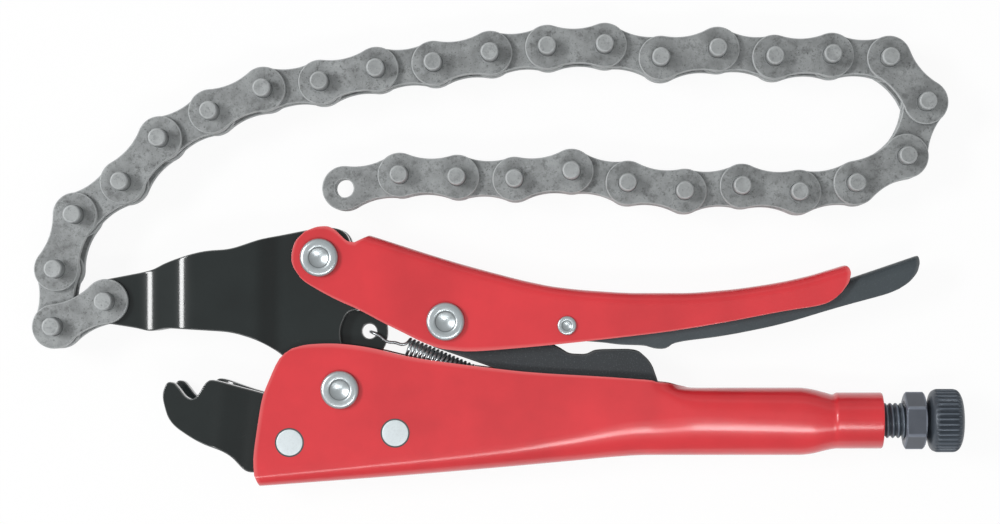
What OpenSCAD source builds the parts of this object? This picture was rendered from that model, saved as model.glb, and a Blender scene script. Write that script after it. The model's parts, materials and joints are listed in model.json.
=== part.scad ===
// Locking chain pliers, lying flat as on a bench.
// The drawing origin of every piece is the jaw pivot, on the middle plane of the tool.
// +X runs from the jaws to the adjusting knob, +Y from the lower handle to the upper one.

/* [Chain] */
// Distance from pin to pin
chain_pitch = 15.875; // [15:0.125:17]
// Diameter of the link pins
pin_d = 5; // [4:0.1:5.6]
// Length of the link pins, end to end
pin_l = 17.6; // [15:0.1:18]
// Radius of a link plate's round ends
plate_end_r = 6.15; // [5.4:0.05:6.6]
// Width of a link plate at its waist
plate_waist = 9.6; // [8:0.1:10.4]
// Thickness of the link plates
plate_t = 1.6; // [1:0.1:2]
// Outside diameter of the bushes in the inner links
bush_d = 7.2; // [6.8:0.1:8.4]

/* [Handles] */
// Outside width of both folded handles
handle_w = 13; // [12.4:0.1:15]
// Thickness of the handle sheet
sheet_t = 1.8; // [1.2:0.1:2]
// Outside radius of the folds
fold_r = 3; // [2.4:0.1:4]
// Outside diameter of the lower handle's rolled tail
tail_d = 15.6; // [14.6:0.1:17]
// Length of the threaded tail
tail_l = 13; // [8:0.5:14]
// Gap at the seam along the rolled tail
seam_gap = 0.4; // [0.3:0.1:0.8]

/* [Jaws] */
// Thickness of the jaw plates
jaw_t = 3; // [2.4:0.1:3.1]
// Clear space between the prongs of the fork
fork_gap = 11.6; // [10.8:0.1:12.4]
// Radius of the moving jaw round the jaw pivot
jaw_hub_r = 8; // [6.5:0.1:8.6]
// Radius of the moving jaw round the handle pivot
nose_hub_r = 8.2; // [7:0.1:8.6]
// Width of the hook notch in each prong
notch_w = 5.6; // [5.2:0.1:6.4]
// Diameter of the spring's hole in the jaw tab
spring_hole_d = 4.1; // [3.4:0.1:4.6]

/* [Rivets] */
// Shank diameter of the three pivot rivets
pivot_d = 6; // [4.5:0.1:7]
// Head diameter of the three pivot rivets
pivot_head_d = 10.5; // [8.5:0.1:11.5]
// Height of the pivot rivet heads
pivot_head_h = 1.6; // [0.8:0.1:2]
// Shank diameter of the lever rivet
lever_rivet_d = 3.2; // [2.4:0.1:3.8]
// Head diameter of the lever rivet
lever_head_d = 5.2; // [4.4:0.1:6]
// Diameter of the flat rivets that hold the fixed jaw
flat_rivet_d = 7.35; // [5:0.05:8]

/* [Toggle link and release lever] */
// Thickness of the toggle link
link_t = 6.4; // [5:0.1:7]
// Radius of the link round the toggle rivet
link_hub_r = 7.9; // [6.5:0.1:8.5]
// Radius of the link's far end, which faces the screw
link_end_r = 5; // [4:0.1:5.4]
// Sheet thickness of the release lever
lever_t = 1.5; // [1:0.1:1.8]

/* [Return spring] */
// Wire diameter
wire_d = 0.7; // [0.5:0.05:0.75]
// Outside diameter of the coil
coil_d = 5.6; // [4.8:0.1:6]
// Distance from curl to curl
coil_step = 1.18; // [1.16:0.01:1.25]
// Number of curls
coil_turns = 25; // [12:1:26]
// Diameter of the cross pin that the far hook goes round
anchor_d = 3; // [2:0.1:3.4]

/* [Adjusting screw] */
// Outside diameter of the thread
screw_d = 9.8; // [8:0.1:10.4]
// Pitch of the thread
thread_pitch = 1.5; // [1:0.25:2]
// Depth of the thread
thread_depth = 0.7; // [0.4:0.05:0.9]
// Diameter of the knob
knob_d = 17.6; // [16:0.1:18.2]
// Length of the knob
knob_l = 10.2; // [8:0.1:14]
// Number of grooves round the knob
knob_grooves = 36; // [24:1:44]
// Width of the lock nut across its flats
nut_flats = 13.8; // [12.5:0.1:15]
// Thickness of the lock nut
nut_t = 5.7; // [4:0.1:6.5]
// Bare thread between the tail and the lock nut
screw_reach = 6.2; // [4:0.1:10]

/* [Fits] */
// Radial clearance of a running pin in its hole
run_gap = 0.06; // [0.03:0.01:0.1]
// Radial gap that marks a pressed joint between two pieces
press_gap = 0.02; // [0.01:0.01:0.03]
// Side play between plates that slide past each other
side_gap = 0.2; // [0.1:0.05:0.3]
// Room between the link's end and the screw's tip
tip_gap = 1.6; // [1:0.1:3]

/* [Hidden] */
$fn = 64;

// Pivots, measured from the jaw pivot
jaw_tip = [-64.9, 24.4];
handle_pivot = [-5.7, 36.4];
toggle_pivot = [29.1, 18.8];
lever_pivot = [62.5, 17.7];
link_end = [92, -8.75];
flat_rivets = [[-13.9, -14.5], [15.2, -11.9]];
spring_hole = [7.6, 16.1];
screw_y = link_end.y;
tail_end_x = 149.9;

// Levels across the tool, measured from its middle plane
wall_out = handle_w / 2;
wall_in = wall_out - sheet_t;
jaw_out = wall_in - side_gap;
jaw_in = jaw_out - jaw_t;
prong_in = fork_gap / 2;
prong_out = prong_in + jaw_t;
outer_plate_in = jaw_t + side_gap / 2;
outer_plate_out = outer_plate_in + plate_t;
lever_out = wall_in - side_gap;
mid_h = max(prong_out, pin_l / 2, knob_d / 2, wall_out + pivot_head_h);
far = 400;

// Places along the adjusting screw
screw_tip_x = link_end.x + link_end_r + tip_gap;
nut_x = tail_end_x + screw_reach;
knob_neck = 0.5;
knob_x = nut_x + nut_t + knob_neck;

// Chain lay: the heading of each link, in degrees, as the chain lies on the bench
headings = [206, 88, 71, 35, 49, 28, 23, 7, 13, 6, 10, 6, 2, -13, 9, -8, 2, -3, -50, -110,
    -152, -171, 174, -175, 172, 168, -172, 178, 178, -167];
chain_links = len(headings);
function heading(i) = [cos(headings[i]), sin(headings[i])];
function chain_pins(i = 0, at = jaw_tip) =
    i == chain_links ? [at] : concat([at], chain_pins(i + 1, at + chain_pitch * heading(i)));
pins = chain_pins();

// Smooth outlines: every point is [x, y, ease], and ease 0 keeps a sharp corner
function mix(a, b, t) = a + (b - a) * t;
function xy(p) = [p[0], p[1]];
function corner(a, b, c, ease, steps = 5) = ease == 0 ? [b] :
    [for (k = [0:steps]) let (t = k / steps)
        (1 - t) * (1 - t) * mix(b, a, ease) + 2 * t * (1 - t) * b + t * t * mix(b, c, ease)];
function soft(points) = let (n = len(points))
    [for (i = [0:n - 1])
        each corner(xy(points[(i + n - 1) % n]), xy(points[i]), xy(points[(i + 1) % n]), points[i][2])];
function unit(v) = v / norm(v);
function backwards(list) = [for (i = [len(list) - 1:-1:0]) list[i]];
// A bent line: every point is [x, level, reach], and the bend reaches that far to each side
function bend(a, b, c, reach) = corner(b + reach * unit(a - b), b, b + reach * unit(c - b), 1);
function bent_line(points) = let (n = len(points))
    [for (i = [0:n - 1]) each i == 0 || i == n - 1 ? [xy(points[i])] :
        bend(xy(points[i - 1]), xy(points[i]), xy(points[i + 1]), points[i][2])];

// The whole object stands on its own box: lowest point at zero, box centred on the axes
lower_fold_start = [-22.4, -26.7];
box_x = [min([for (p = pins) p.x]) - plate_end_r, knob_x + knob_l];
box_y = [lower_fold_start.y, max([for (p = pins) p.y]) + plate_end_r];
module laid() {
    translate([-(box_x[0] + box_x[1]) / 2, -(box_y[0] + box_y[1]) / 2, mid_h]) children();
}

// Folded channels: sections across X, each [x, fold, edge, half width, fold radius,
// lip radius, lip turn, wall], and the lips are left out where the lip turn is zero
function lip(s, inset) = let (height = abs(s[2] - s[1]), turn = 90 * s[6], r = s[5] - inset,
        run = max(0.15, s[6] * (s[3] - s[5] - seam_gap / 2)),
        rise = height - s[5], side = s[3] - s[5])
    s[6] == 0 ? [[height, s[3] - inset]] : concat(
        [[rise + r * sin(turn) + run * cos(turn), side + r * cos(turn) - run * sin(turn)]],
        [for (k = [3:-1:0]) [rise + r * sin(turn * k / 3), side + r * cos(turn * k / 3)]]);
function fold(s, inset) = let (r = s[4] - inset)
    [for (k = [0:4]) [s[4] - r * sin(22.5 * k), s[3] - s[4] + r * cos(22.5 * k)]];
function half_section(s, inset) = concat(lip(s, inset), fold(s, inset));
function other_side(path) = [for (p = path) [p[0], -p[1]]];
function section(s) = let (outside = half_section(s, 0), inside = half_section(s, s[7]),
        up = s[2] > s[1] ? 1 : -1,
        ring = concat(outside, backwards(other_side(outside)), other_side(inside), backwards(inside)))
    [for (p = ring) [s[0], s[1] + up * p[0], p[1]]];
module channel(sections) {
    rings = [for (s = sections) section(s)];
    n = len(rings[0]);
    last = len(rings) - 1;
    upward = sections[0][2] > sections[0][1];
    sides = [for (j = [0:last - 1], i = [0:n - 1]) let (a = j * n + i, b = j * n + (i + 1) % n)
        each [[a, b + n, b], [a, a + n, b + n]]];
    // Each end is a strip between the outside and the inside of the sheet
    strip = [for (i = [0:n / 2 - 2]) [i, i + 1, n - 2 - i, n - 1 - i]];
    far_strip = [for (f = strip) backwards([for (i = f) last * n + i])];
    faces = concat(sides, strip, far_strip);
    polyhedron([for (r = rings) each r], upward ? faces : [for (f = faces) backwards(f)], convexity = 8);
}

// Bent sheet: a plate of the given outline that follows a bent line, [x, level of its inner face, reach]
module bent_plate(profile, lean = 0) {
    inner = bent_line(profile);
    outer = [for (p = inner) [p.x, p.y + jaw_t]];
    intersection() {
        translate([0, 0, -far]) linear_extrude(2 * far) children();
        rotate([90, 0, lean]) linear_extrude(2 * far, center = true)
            polygon(concat(inner, backwards(outer)));
    }
}

// Chain
module plate_outline() {
    half = chain_pitch / 2;
    waist = plate_waist / 2;
    hollow_r = (half * half + waist * waist - plate_end_r * plate_end_r) / (2 * (plate_end_r - waist));
    hollow_y = waist + hollow_r;
    share = plate_end_r / (plate_end_r + hollow_r);
    for (x = [0, chain_pitch]) translate([x, 0]) circle(plate_end_r);
    translate([half, 0]) difference() {
        square([2 * half * (1 - share), 2 * hollow_y * share], center = true);
        for (side = [-1, 1]) translate([0, side * hollow_y]) circle(hollow_r, $fn = 160);
    }
}
module link_plate(hole_d) {
    linear_extrude(plate_t) difference() {
        plate_outline();
        for (x = [0, chain_pitch]) translate([x, 0]) circle(d = hole_d);
    }
}
module link_pin() {
    bevel = 0.5;
    rotate_extrude() polygon([[0, -pin_l / 2], [pin_d / 2 - bevel, -pin_l / 2],
        [pin_d / 2, -pin_l / 2 + bevel], [pin_d / 2, pin_l / 2 - bevel],
        [pin_d / 2 - bevel, pin_l / 2], [0, pin_l / 2]]);
}
module link_bush() {
    difference() {
        cylinder(d = bush_d, h = 2 * jaw_t, center = true);
        cylinder(d = pin_d + 2 * run_gap, h = far, center = true);
    }
}
module on_link(i) {
    laid() translate(pins[i]) rotate(headings[i]) children();
}
module chain_outer_link(i) {
    color("dimgray") on_link(2 * i) {
        translate([0, 0, outer_plate_in]) link_plate(pin_d + 2 * press_gap);
        translate([0, 0, -outer_plate_out]) link_plate(pin_d + 2 * press_gap);
        for (x = [0, chain_pitch]) translate([x, 0]) link_pin();
    }
}
module chain_inner_link(i) {
    color("gray") on_link(2 * i + 1) {
        translate([0, 0, jaw_t - plate_t]) link_plate(bush_d + 2 * press_gap);
        translate([0, 0, -jaw_t]) link_plate(bush_d + 2 * press_gap);
        for (x = [0, chain_pitch]) translate([x, 0]) link_bush();
    }
}

// Holes and rivets across the tool
module cross_hole(at, d, gap) {
    translate(at) cylinder(d = d + 2 * gap, h = far, center = true);
}
module headed_rivet(at, shank_d, head_d, head_h) {
    dimple_r = 0.26 * head_d;
    dimple_h = 0.55 * head_h;
    top = wall_out + head_h;
    upper = [[shank_d / 2, wall_out], [head_d / 2, wall_out], [head_d / 2, top - 0.6 * head_h],
        [head_d / 2 - 0.5 * head_h, top], [dimple_r, top], [0.35 * dimple_r, top - dimple_h],
        [0, top - dimple_h]];
    lower = [for (p = backwards(upper)) [p.x, -p.y]];
    translate(at) rotate_extrude() polygon(concat(lower, upper));
}
module spacer(at, shank_d, gap) {
    ring_wall = 2;
    length = 2 * (jaw_in - side_gap / 2);
    translate(at) difference() {
        cylinder(d = shank_d + 2 * gap + 2 * ring_wall, h = length, center = true);
        cylinder(d = shank_d + 2 * gap, h = far, center = true);
    }
}
module jaw_pivot_rivet() {
    color("silver") laid() headed_rivet([0, 0], pivot_d, pivot_head_d, pivot_head_h);
}
module handle_pivot_rivet() {
    color("silver") laid() headed_rivet(handle_pivot, pivot_d, pivot_head_d, pivot_head_h);
}
module toggle_rivet() {
    color("silver") laid() headed_rivet(toggle_pivot, pivot_d, pivot_head_d, pivot_head_h);
}
module lever_rivet() {
    lever_head_h = 0.8;
    color("silver") laid() headed_rivet(lever_pivot, lever_rivet_d, lever_head_d, lever_head_h);
}
module fixed_jaw_rivets() {
    proud = 0.1;
    color("gainsboro") laid() for (at = flat_rivets)
        translate(at) cylinder(d = flat_rivet_d, h = 2 * (wall_out + proud), center = true);
}
module jaw_pivot_spacer() {
    color("gray") laid() spacer([0, 0], pivot_d, run_gap);
}
module handle_pivot_spacer() {
    color("gray") laid() spacer(handle_pivot, pivot_d, run_gap);
}
module fixed_jaw_spacers() {
    color("gray") laid() for (at = flat_rivets) spacer(at, flat_rivet_d, press_gap);
}

// Moving jaw
module moving_jaw_ends() {
    translate(jaw_tip) circle(plate_end_r);
    circle(jaw_hub_r);
    translate(handle_pivot) circle(nose_hub_r);
}
module moving_jaw_body() {
    b = handle_pivot;
    polygon(soft([[jaw_tip.x, jaw_tip.y + plate_end_r, 0], [-52.7, 32.9, 0.3], [-48, 35.1, 0.3],
        [-37.8, 38.2, 0.4], [-29.8, 38.7, 0.3], [-20.4, 41.9, 0.3],
        [b.x - 0.2 * nose_hub_r, b.y + 0.96 * nose_hub_r, 0], [b.x + 0.9 * nose_hub_r, b.y, 0.3],
        [6.4, 27, 0.4], [7, 22.4, 0.3], [1.6, 21.6, 0.4], [-0.6, 16, 0.4],
        [0, 0.9 * jaw_hub_r, 0], [0.5 * jaw_hub_r, 0, 0], [-0.6 * jaw_hub_r, -0.7 * jaw_hub_r, 0],
        [-0.95 * jaw_hub_r - 1, 1.5, 0.3], [-16, 9.5, 0.4], [-22.1, 13.6, 0.4], [-29.5, 15.9, 0.4],
        [-37.8, 16.4, 0.4], [-47.8, 17, 0.3], [-52.8, 16, 0.4], [-57, 17, 0.3],
        [jaw_tip.x, jaw_tip.y - plate_end_r, 0]]));
}
module moving_jaw_plate() {
    profile = [[-100, 0, 0], [-53, 0, 3.5], [-43, prong_in, 3.5], [-24, prong_in, 2.4], [-18.4, jaw_in, 2],
        [40, jaw_in, 0]];
    difference() {
        union() {
            bent_plate(profile) moving_jaw_body();
            bent_plate(profile) moving_jaw_ends();
        }
        cross_hole([0, 0], pivot_d, run_gap);
        cross_hole(handle_pivot, pivot_d, run_gap);
        cross_hole(jaw_tip, pin_d, run_gap);
    }
}
module spring_tab_outline() {
    h = spring_hole;
    polygon(soft([[h.x - 1, h.y + 5.9, 0.4], [h.x + 4.4, h.y + 4.6, 0.4], [h.x + 5.3, h.y - 0.6, 0.4],
        [h.x + 4, h.y - 5.4, 0.4], [h.x - 2.4, h.y - 7.6, 0.4], [h.x - 9.2, h.y - 5.5, 0.4],
        [h.x - 10, h.y + 0.6, 0.4], [h.x - 7.4, h.y + 5.6, 0.4]]));
}
module spring_tab() {
    side = jaw_in - side_gap / 2;
    difference() {
        union() {
            linear_extrude(2 * side, center = true) spring_tab_outline();
            translate([0, 0, -side]) linear_extrude(side + jaw_in + jaw_t / 2) intersection() {
                spring_tab_outline();
                moving_jaw_body();
            }
        }
        cross_hole(spring_hole, spring_hole_d, 0);
        cross_hole([0, 0], 2 * jaw_hub_r - 2, 0);
    }
}
module moving_jaw_front() {
    color("#2b2f30") laid() {
        moving_jaw_plate();
        spring_tab();
    }
}
module moving_jaw_rear() {
    color("#2b2f30") laid() mirror([0, 0, 1]) moving_jaw_plate();
}

// Fixed jaw
notch_at = [-41, 0.1];
module fixed_jaw_outline() {
    difference() {
        polygon(soft([[-48.7, -1.6, 0.4], [-47.3, 2.1, 0.4], [-44.2, 2, 0.4],
            [-37.7, 1.8, 0.4], [-35, 3.1, 0.4], [-27.1, 0.6, 0.3], [-20, -1.4, 0.3],
            [-0.9 * jaw_hub_r, -0.3 * jaw_hub_r, 0], [0.8 * jaw_hub_r, -0.3 * jaw_hub_r, 0],
            [20.4, -5.6, 0.3], [21.6, -12, 0.4],
            [20, -19.8, 0.2], [-4, -21.4, 0.2], [-20, -22.7, 0.2], [-26.2, -23, 0.3], [-30.8, -17.4, 0.4],
            [-39, -14.2, 0.4], [-46.6, -9, 0.4]]));
        translate(notch_at) circle(d = notch_w);
        translate(notch_at) polygon([[-notch_w / 2, 0], [notch_w / 2, 0],
            [notch_w / 2 + 1, 4], [-notch_w / 2 - 1, 4]]);
        circle(jaw_hub_r + 3 * side_gap);
        for (at = flat_rivets) translate(at) circle(d = flat_rivet_d + 2 * press_gap);
    }
}
module fixed_jaw_plate() {
    lean = -6;
    profile = [[-100, prong_in, 0], [-33.1, prong_in, 3], [-24, jaw_in, 2], [60, jaw_in, 0]];
    bent_plate(profile, lean) fixed_jaw_outline();
}
module fixed_jaw_front() {
    color("#2b2f30") laid() fixed_jaw_plate();
}
module fixed_jaw_rear() {
    color("#2b2f30") laid() mirror([0, 0, 1]) fixed_jaw_plate();
}

// Lower handle: open channel in front, rolled into a tube at the tail
module lower_handle_trim() {
    polygon(soft([[lower_fold_start.x, -far, 0], [lower_fold_start.x, -27, 0], [-23.8, -21, 0.3],
        [-23.2, -14, 0.4], [-20.4, 0, 0.4], [-16, 9.6, 0.4], [-10.6, 12.5, 0.4], [0, 12.8, 0.4],
        [10, 11.4, 0.4], [24, 8.2, 0.4], [44, 5.7, 0.4], [60, 4.2, 0.4], [80, 3, 0.4], [88.6, 2.2, 0.3],
        [92, 0.6, 0.3], [95, 1.5, 0], [95, far, 0], [far, far, 0], [far, -far, 0]]));
}
module lower_handle() {
    tail_r = tail_d / 2;
    tail_bend = tail_r - seam_gap / 2;
    bottom = -18.3;
    tail_start = tail_end_x - tail_l;
    swaged = tail_r - screw_d / 2 + thread_depth;
    sections = [
        [-27, lower_fold_start.y - 0.3, 16, wall_out, fold_r, fold_r, 0.05, sheet_t],
        [lower_fold_start.x, lower_fold_start.y, 16, wall_out, fold_r, fold_r, 0.05, sheet_t],
        [22, -23.5, 11, wall_out, fold_r, fold_r, 0.05, sheet_t],
        [45, -21.6, 7.5, wall_out, fold_r, fold_r, 0.05, sheet_t],
        [64, -19.9, 5.6, wall_out, fold_r, fold_r, 0.05, sheet_t],
        [78, -18.7, 4.6, wall_out + 0.15, fold_r + 0.4, fold_r, 0.05, sheet_t],
        [86, bottom, 3.8, wall_out + 0.4, fold_r + 1, fold_r, 0.08, sheet_t],
        [90, bottom, 2, wall_out + 0.65, fold_r + 1.8, fold_r + 0.6, 0.4, sheet_t],
        [94, bottom, 0.5, tail_r - 0.3, 0.72 * tail_r, 0.6 * tail_r, 0.8, sheet_t],
        [98, bottom, 0.4, tail_r - 0.1, 0.8 * tail_r, 0.76 * tail_r, 1, sheet_t],
        [tail_start - 10, bottom, 0.4, tail_r, 0.88 * tail_r, 0.86 * tail_r, 1, sheet_t],
        [tail_start - 6.5, bottom + 0.3, -0.1, tail_r, 0.92 * tail_r, 0.9 * tail_r, 1, sheet_t],
        [tail_start - 2.8, screw_y - tail_r + 0.1, screw_y + tail_r - 0.5, tail_r - 0.3, tail_bend - 0.3,
            tail_bend - 0.4, 1, swaged],
        [tail_start, screw_y - tail_r, screw_y + tail_r, tail_r, tail_bend, tail_bend - 0.1, 1, swaged],
        [tail_end_x - 0.6, screw_y - tail_r, screw_y + tail_r, tail_r, tail_bend, tail_bend - 0.1, 1, swaged],
        [tail_end_x, screw_y - tail_r + 0.5, screw_y + tail_r - 0.5, tail_r - 0.5, tail_bend - 0.5,
            tail_bend - 0.6, 1, swaged - 0.5]];
    color("#c8232a") laid() difference() {
        intersection() {
            channel(sections);
            translate([0, 0, -far]) linear_extrude(2 * far) lower_handle_trim();
        }
        cross_hole([0, 0], pivot_d, press_gap);
        for (at = flat_rivets) cross_hole(at, flat_rivet_d, press_gap);
        along_screw(tail_start - 8) cylinder(d = screw_d + 2 * run_gap, h = far);
    }
}

// Upper handle: channel with its fold on top, open at the nose
module upper_handle_trim() {
    b = handle_pivot;
    polygon(soft([[8, 42.8, 0.2], [3.8, 40.4, 0.4], [0.4, 43, 0.4], [b.x + 2.6, b.y + 8.7, 0.4],
        [b.x - 5.4, b.y + 7, 0.4], [b.x - 8, b.y - 0.6, 0.45], [b.x - 3.6, b.y - 7.2, 0.45], [5.5, 21.8, 0.4],
        [17.9, 15.4, 0.4], [27, 11.2, 0.4], [36, 10.4, 0.3], [59.6, 12.4, 0.4], [90.6, 16, 0.4],
        [121.8, 21.5, 0.4], [134, 23.6, 0.4], [140, 29, 0.4], [141.2, 34.4, 0.2], [139, 60, 0], [8, 60, 0]]));
}
module upper_handle() {
    folds = [[-14, 52], [2, 47], [8, 42.7], [15, 40.4], [24, 37.5], [34, 34.5], [44, 31.8], [52, 29.7],
        [60, 28.3], [70, 27.3], [82, 26.7], [94, 26.7], [106, 27.5], [118, 28.9], [128, 30.6], [136, 32.6],
        [142, 34.3]];
    edges = [[-14, 18], [30, 4], [60, 8], [120, 15], [142, 19]];
    sections = [for (f = folds)
        [f[0], f[1], lookup(f[0], edges), wall_out, fold_r, 0, 0, sheet_t]];
    color("#c8232a") laid() difference() {
        intersection() {
            channel(sections);
            translate([0, 0, -far]) linear_extrude(2 * far) upper_handle_trim();
        }
        cross_hole(handle_pivot, pivot_d, press_gap);
        cross_hole(toggle_pivot, pivot_d, press_gap);
        cross_hole(lever_pivot, lever_rivet_d, press_gap);
    }
}

// Toggle link: from the toggle rivet down to the screw's tip
module toggle_link() {
    c = toggle_pivot;
    d = link_end;
    color("#3c3c3c") laid() linear_extrude(link_t, center = true) difference() {
        union() {
            translate(c) circle(link_hub_r);
            translate(d) circle(link_end_r);
            polygon(soft([[c.x - 0.35 * link_hub_r, c.y - 0.9 * link_hub_r, 0], [41, 6.4, 0.3],
                [60, -0.7, 0.3], [d.x - 0.35 * link_end_r, d.y - 0.9 * link_end_r, 0],
                [d.x + 0.8 * link_end_r, d.y + 0.55 * link_end_r, 0], [89.2, -2.6, 0.4], [87.6, 2.4, 0.3],
                [85.8, 7.6, 0.4], [81.8, 11.2, 0.3], [70.4, 11.1, 0.3], [67.6, 9.7, 0.3], [63, 9.9, 0.3],
                [60, 11.8, 0.3], [45, 19, 0.3],
                [c.x + 0.5 * link_hub_r, c.y + 0.82 * link_hub_r, 0]]));
        }
        translate(c) circle(d = pivot_d + 2 * run_gap);
    }
}

// Release lever: folded sheet inside the upper handle, with its tail past the handle's end
module release_lever_trim() {
    e = lever_pivot;
    polygon(soft([[e.x - 4.6, e.y, 0.4], [e.x - 3, e.y - 4, 0.4], [71.8, 13.1, 0.3], [77, 12.4, 0.3],
        [84, 12.2, 0.3], [86.6, 11.3, 0.3], [89.9, 11.2, 0.3], [92, 13.1, 0.3], [106, 14.8, 0.4],
        [121.8, 18, 0.4], [137.2, 22.7, 0.4], [152.7, 27.4, 0.4], [158.6, 30.4, 0.4], [159.8, 36.6, 0.1],
        [157, 60, 0], [e.x - 4.6, 60, 0]]));
}
module release_lever() {
    folds = [[57, 21.7], [76, 21.7], [90, 21.9], [104, 22.8], [116, 24], [126, 26], [134, 28.4], [142, 31.1],
        [150, 33.8], [162, 37.9]];
    edges = [[57, 8], [90, 6], [122, 12], [162, 24]];
    bend_r = 2.4;
    sections = [for (f = folds) [f[0], f[1], lookup(f[0], edges), lever_out, bend_r, 0, 0, lever_t]];
    color("#26292b") laid() difference() {
        intersection() {
            channel(sections);
            translate([0, 0, -far]) linear_extrude(2 * far) release_lever_trim();
        }
        cross_hole(lever_pivot, lever_rivet_d, run_gap);
    }
}

// Return spring: hook through the jaw tab, curls, and a hook round the anchor pin.
// Its own frame has u along the coil, v across it in the tool's plane, and w across the tool.
spring_slope = -22.8;
coil_r = (coil_d - wire_d) / 2;
hook_u = 2.6;
coil_start = 11.2;
lean_l = 2.5;
lean_angle = 60;
lean_steps = 4;
hook_steps = 8;
rings_per_curl = 8;
wire_sides = 6;
coil_sweep = 360 * coil_turns + 360 - 90 - 2 * lean_angle;
coil_rings = ceil(rings_per_curl * coil_sweep / 360);
coil_end = coil_start + coil_step * coil_sweep / 360;
anchor_u = coil_end + lean_l + coil_r + 2;
anchor_at = spring_hole + anchor_u * [cos(spring_slope), sin(spring_slope)];
function round_axis(u, angle) = [u, coil_r * cos(angle), coil_r * sin(angle)];
// Where the wire leans over, it slows along the axis as it gathers speed round it
function lean_along(t) = lean_l * (1 - (1 - t) * (1 - t));
function lean_round(t) = lean_angle * t * t;
jaw_hook = concat([[hook_u + 2 * wire_d, 0, -coil_r]],
    [for (k = [0:hook_steps]) let (a = -90 - 180 * k / hook_steps)
        [hook_u + coil_r * cos(a), 0, coil_r * sin(a)]]);
lean_in = [for (k = [0:lean_steps - 1]) let (t = k / lean_steps)
    round_axis(coil_start - lean_l + lean_along(t), 90 + lean_round(t))];
coil = [for (k = [0:coil_rings]) let (t = k / coil_rings)
    round_axis(mix(coil_start, coil_end, t), 90 + lean_angle + coil_sweep * t)];
lean_out = [for (k = [lean_steps - 1:-1:0]) let (t = k / lean_steps)
    round_axis(coil_end + lean_l - lean_along(t), -lean_round(t))];
anchor_hook = concat(
    [for (k = [0:hook_steps]) let (a = 90 - 180 * k / hook_steps)
        [anchor_u + coil_r * cos(a), coil_r * sin(a), 0]],
    [[anchor_u - 2 * wire_d, -coil_r, 0]]);
wire_path = concat(jaw_hook, lean_in, coil, lean_out, anchor_hook);
wire_last = len(wire_path) - 1;
wire_run = [for (i = [0:wire_last])
    unit(wire_path[min(i + 1, wire_last)] - wire_path[max(i - 1, 0)])];
// A side direction is carried along the wire without twist
function carried(i, side, done) =
    let (s = unit(side - (side * wire_run[i]) * wire_run[i]), so_far = concat(done, [s]))
    i == wire_last ? so_far : carried(i + 1, s, so_far);
wire_side = carried(0, [0, 1, 0], []);
self_gap = min([for (i = [0:wire_last - rings_per_curl + 1], j = [i + rings_per_curl - 1:wire_last])
    norm(wire_path[i] - wire_path[j])]) - wire_d;
echo(str("Least gap of the spring to itself, in mm: ", self_gap));
module return_spring() {
    n = wire_sides;
    points = [for (i = [0:wire_last], k = [0:n - 1]) let (a = 360 * k / n, s = wire_side[i])
        wire_path[i] + wire_d / 2 * (cos(a) * s + sin(a) * cross(wire_run[i], s))];
    sides = [for (i = [0:wire_last - 1], k = [0:n - 1]) let (a = i * n + k, b = i * n + (k + 1) % n)
        each [[a, b, b + n], [a, b + n, a + n]]];
    last = wire_last * n;
    ends = [for (k = [1:n - 2]) each [[0, k + 1, k], [last, last + k, last + k + 1]]];
    faces = [for (f = concat(sides, ends)) backwards(f)];
    color("lightgray") laid() translate(spring_hole) rotate(spring_slope)
        polyhedron(points, faces, convexity = 20);
}
module spring_anchor_pin() {
    color("gray") laid() translate(anchor_at) cylinder(d = anchor_d, h = 2 * wall_in, center = true);
}

// Adjusting screw with its knob, and the lock nut on it
function threads(x, end) = x >= end - thread_pitch ? [] : concat(
    [[screw_d / 2 - thread_depth, x], [screw_d / 2, x + 0.4 * thread_pitch],
        [screw_d / 2, x + 0.6 * thread_pitch]], threads(x + thread_pitch, end));
module along_screw(x) {
    translate([x, screw_y, 0]) rotate([0, 90, 0]) children();
}
module knob_profile() {
    r = knob_d / 2;
    shoulder = 0.22 * knob_l;
    crown = 0.2 * knob_l;
    polygon(soft([[0, 0, 0], [0.52 * r, 0, 0], [0.62 * r, 0.3 * shoulder, 0.3],
        [0.93 * r, 0.3 * shoulder, 0.4], [r, shoulder, 0.4], [r, knob_l - crown, 0.4],
        [0.86 * r, knob_l - 0.4 * crown, 0.4], [0.5 * r, knob_l, 0.4], [0, knob_l, 0]]));
}
module adjusting_screw() {
    tip_r = 0.6 * screw_d / 2;
    core_r = screw_d / 2 - thread_depth;
    groove_d = 0.9;
    groove_l = 0.5 * knob_l;
    shank_l = knob_x - screw_tip_x;
    color("#202223") laid() {
        along_screw(screw_tip_x) rotate_extrude() polygon(concat([[0, 0], [tip_r, 0]], threads(1.2, shank_l),
            [[core_r, shank_l], [0, shank_l]]));
        along_screw(knob_x) difference() {
            rotate_extrude() knob_profile();
            for (k = [0:knob_grooves - 1]) rotate(360 * k / knob_grooves)
                translate([knob_d / 2, 0, (knob_l - groove_l) / 2])
                    cylinder(d = groove_d, h = groove_l, $fn = 24);
        }
    }
}
module lock_nut() {
    corner_r = nut_flats / 2 / cos(30);
    bevel = 0.9;
    color("#202223") laid() along_screw(nut_x) difference() {
        intersection() {
            rotate(30) cylinder(r = corner_r, h = nut_t, $fn = 6);
            rotate_extrude() polygon([[0, 0], [corner_r - bevel, 0], [corner_r, 0.5 * bevel],
                [corner_r, nut_t - 0.5 * bevel], [corner_r - bevel, nut_t], [0, nut_t]]);
        }
        translate([0, 0, -far / 2]) cylinder(d = screw_d + 2 * run_gap, h = far);
    }
}

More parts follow.
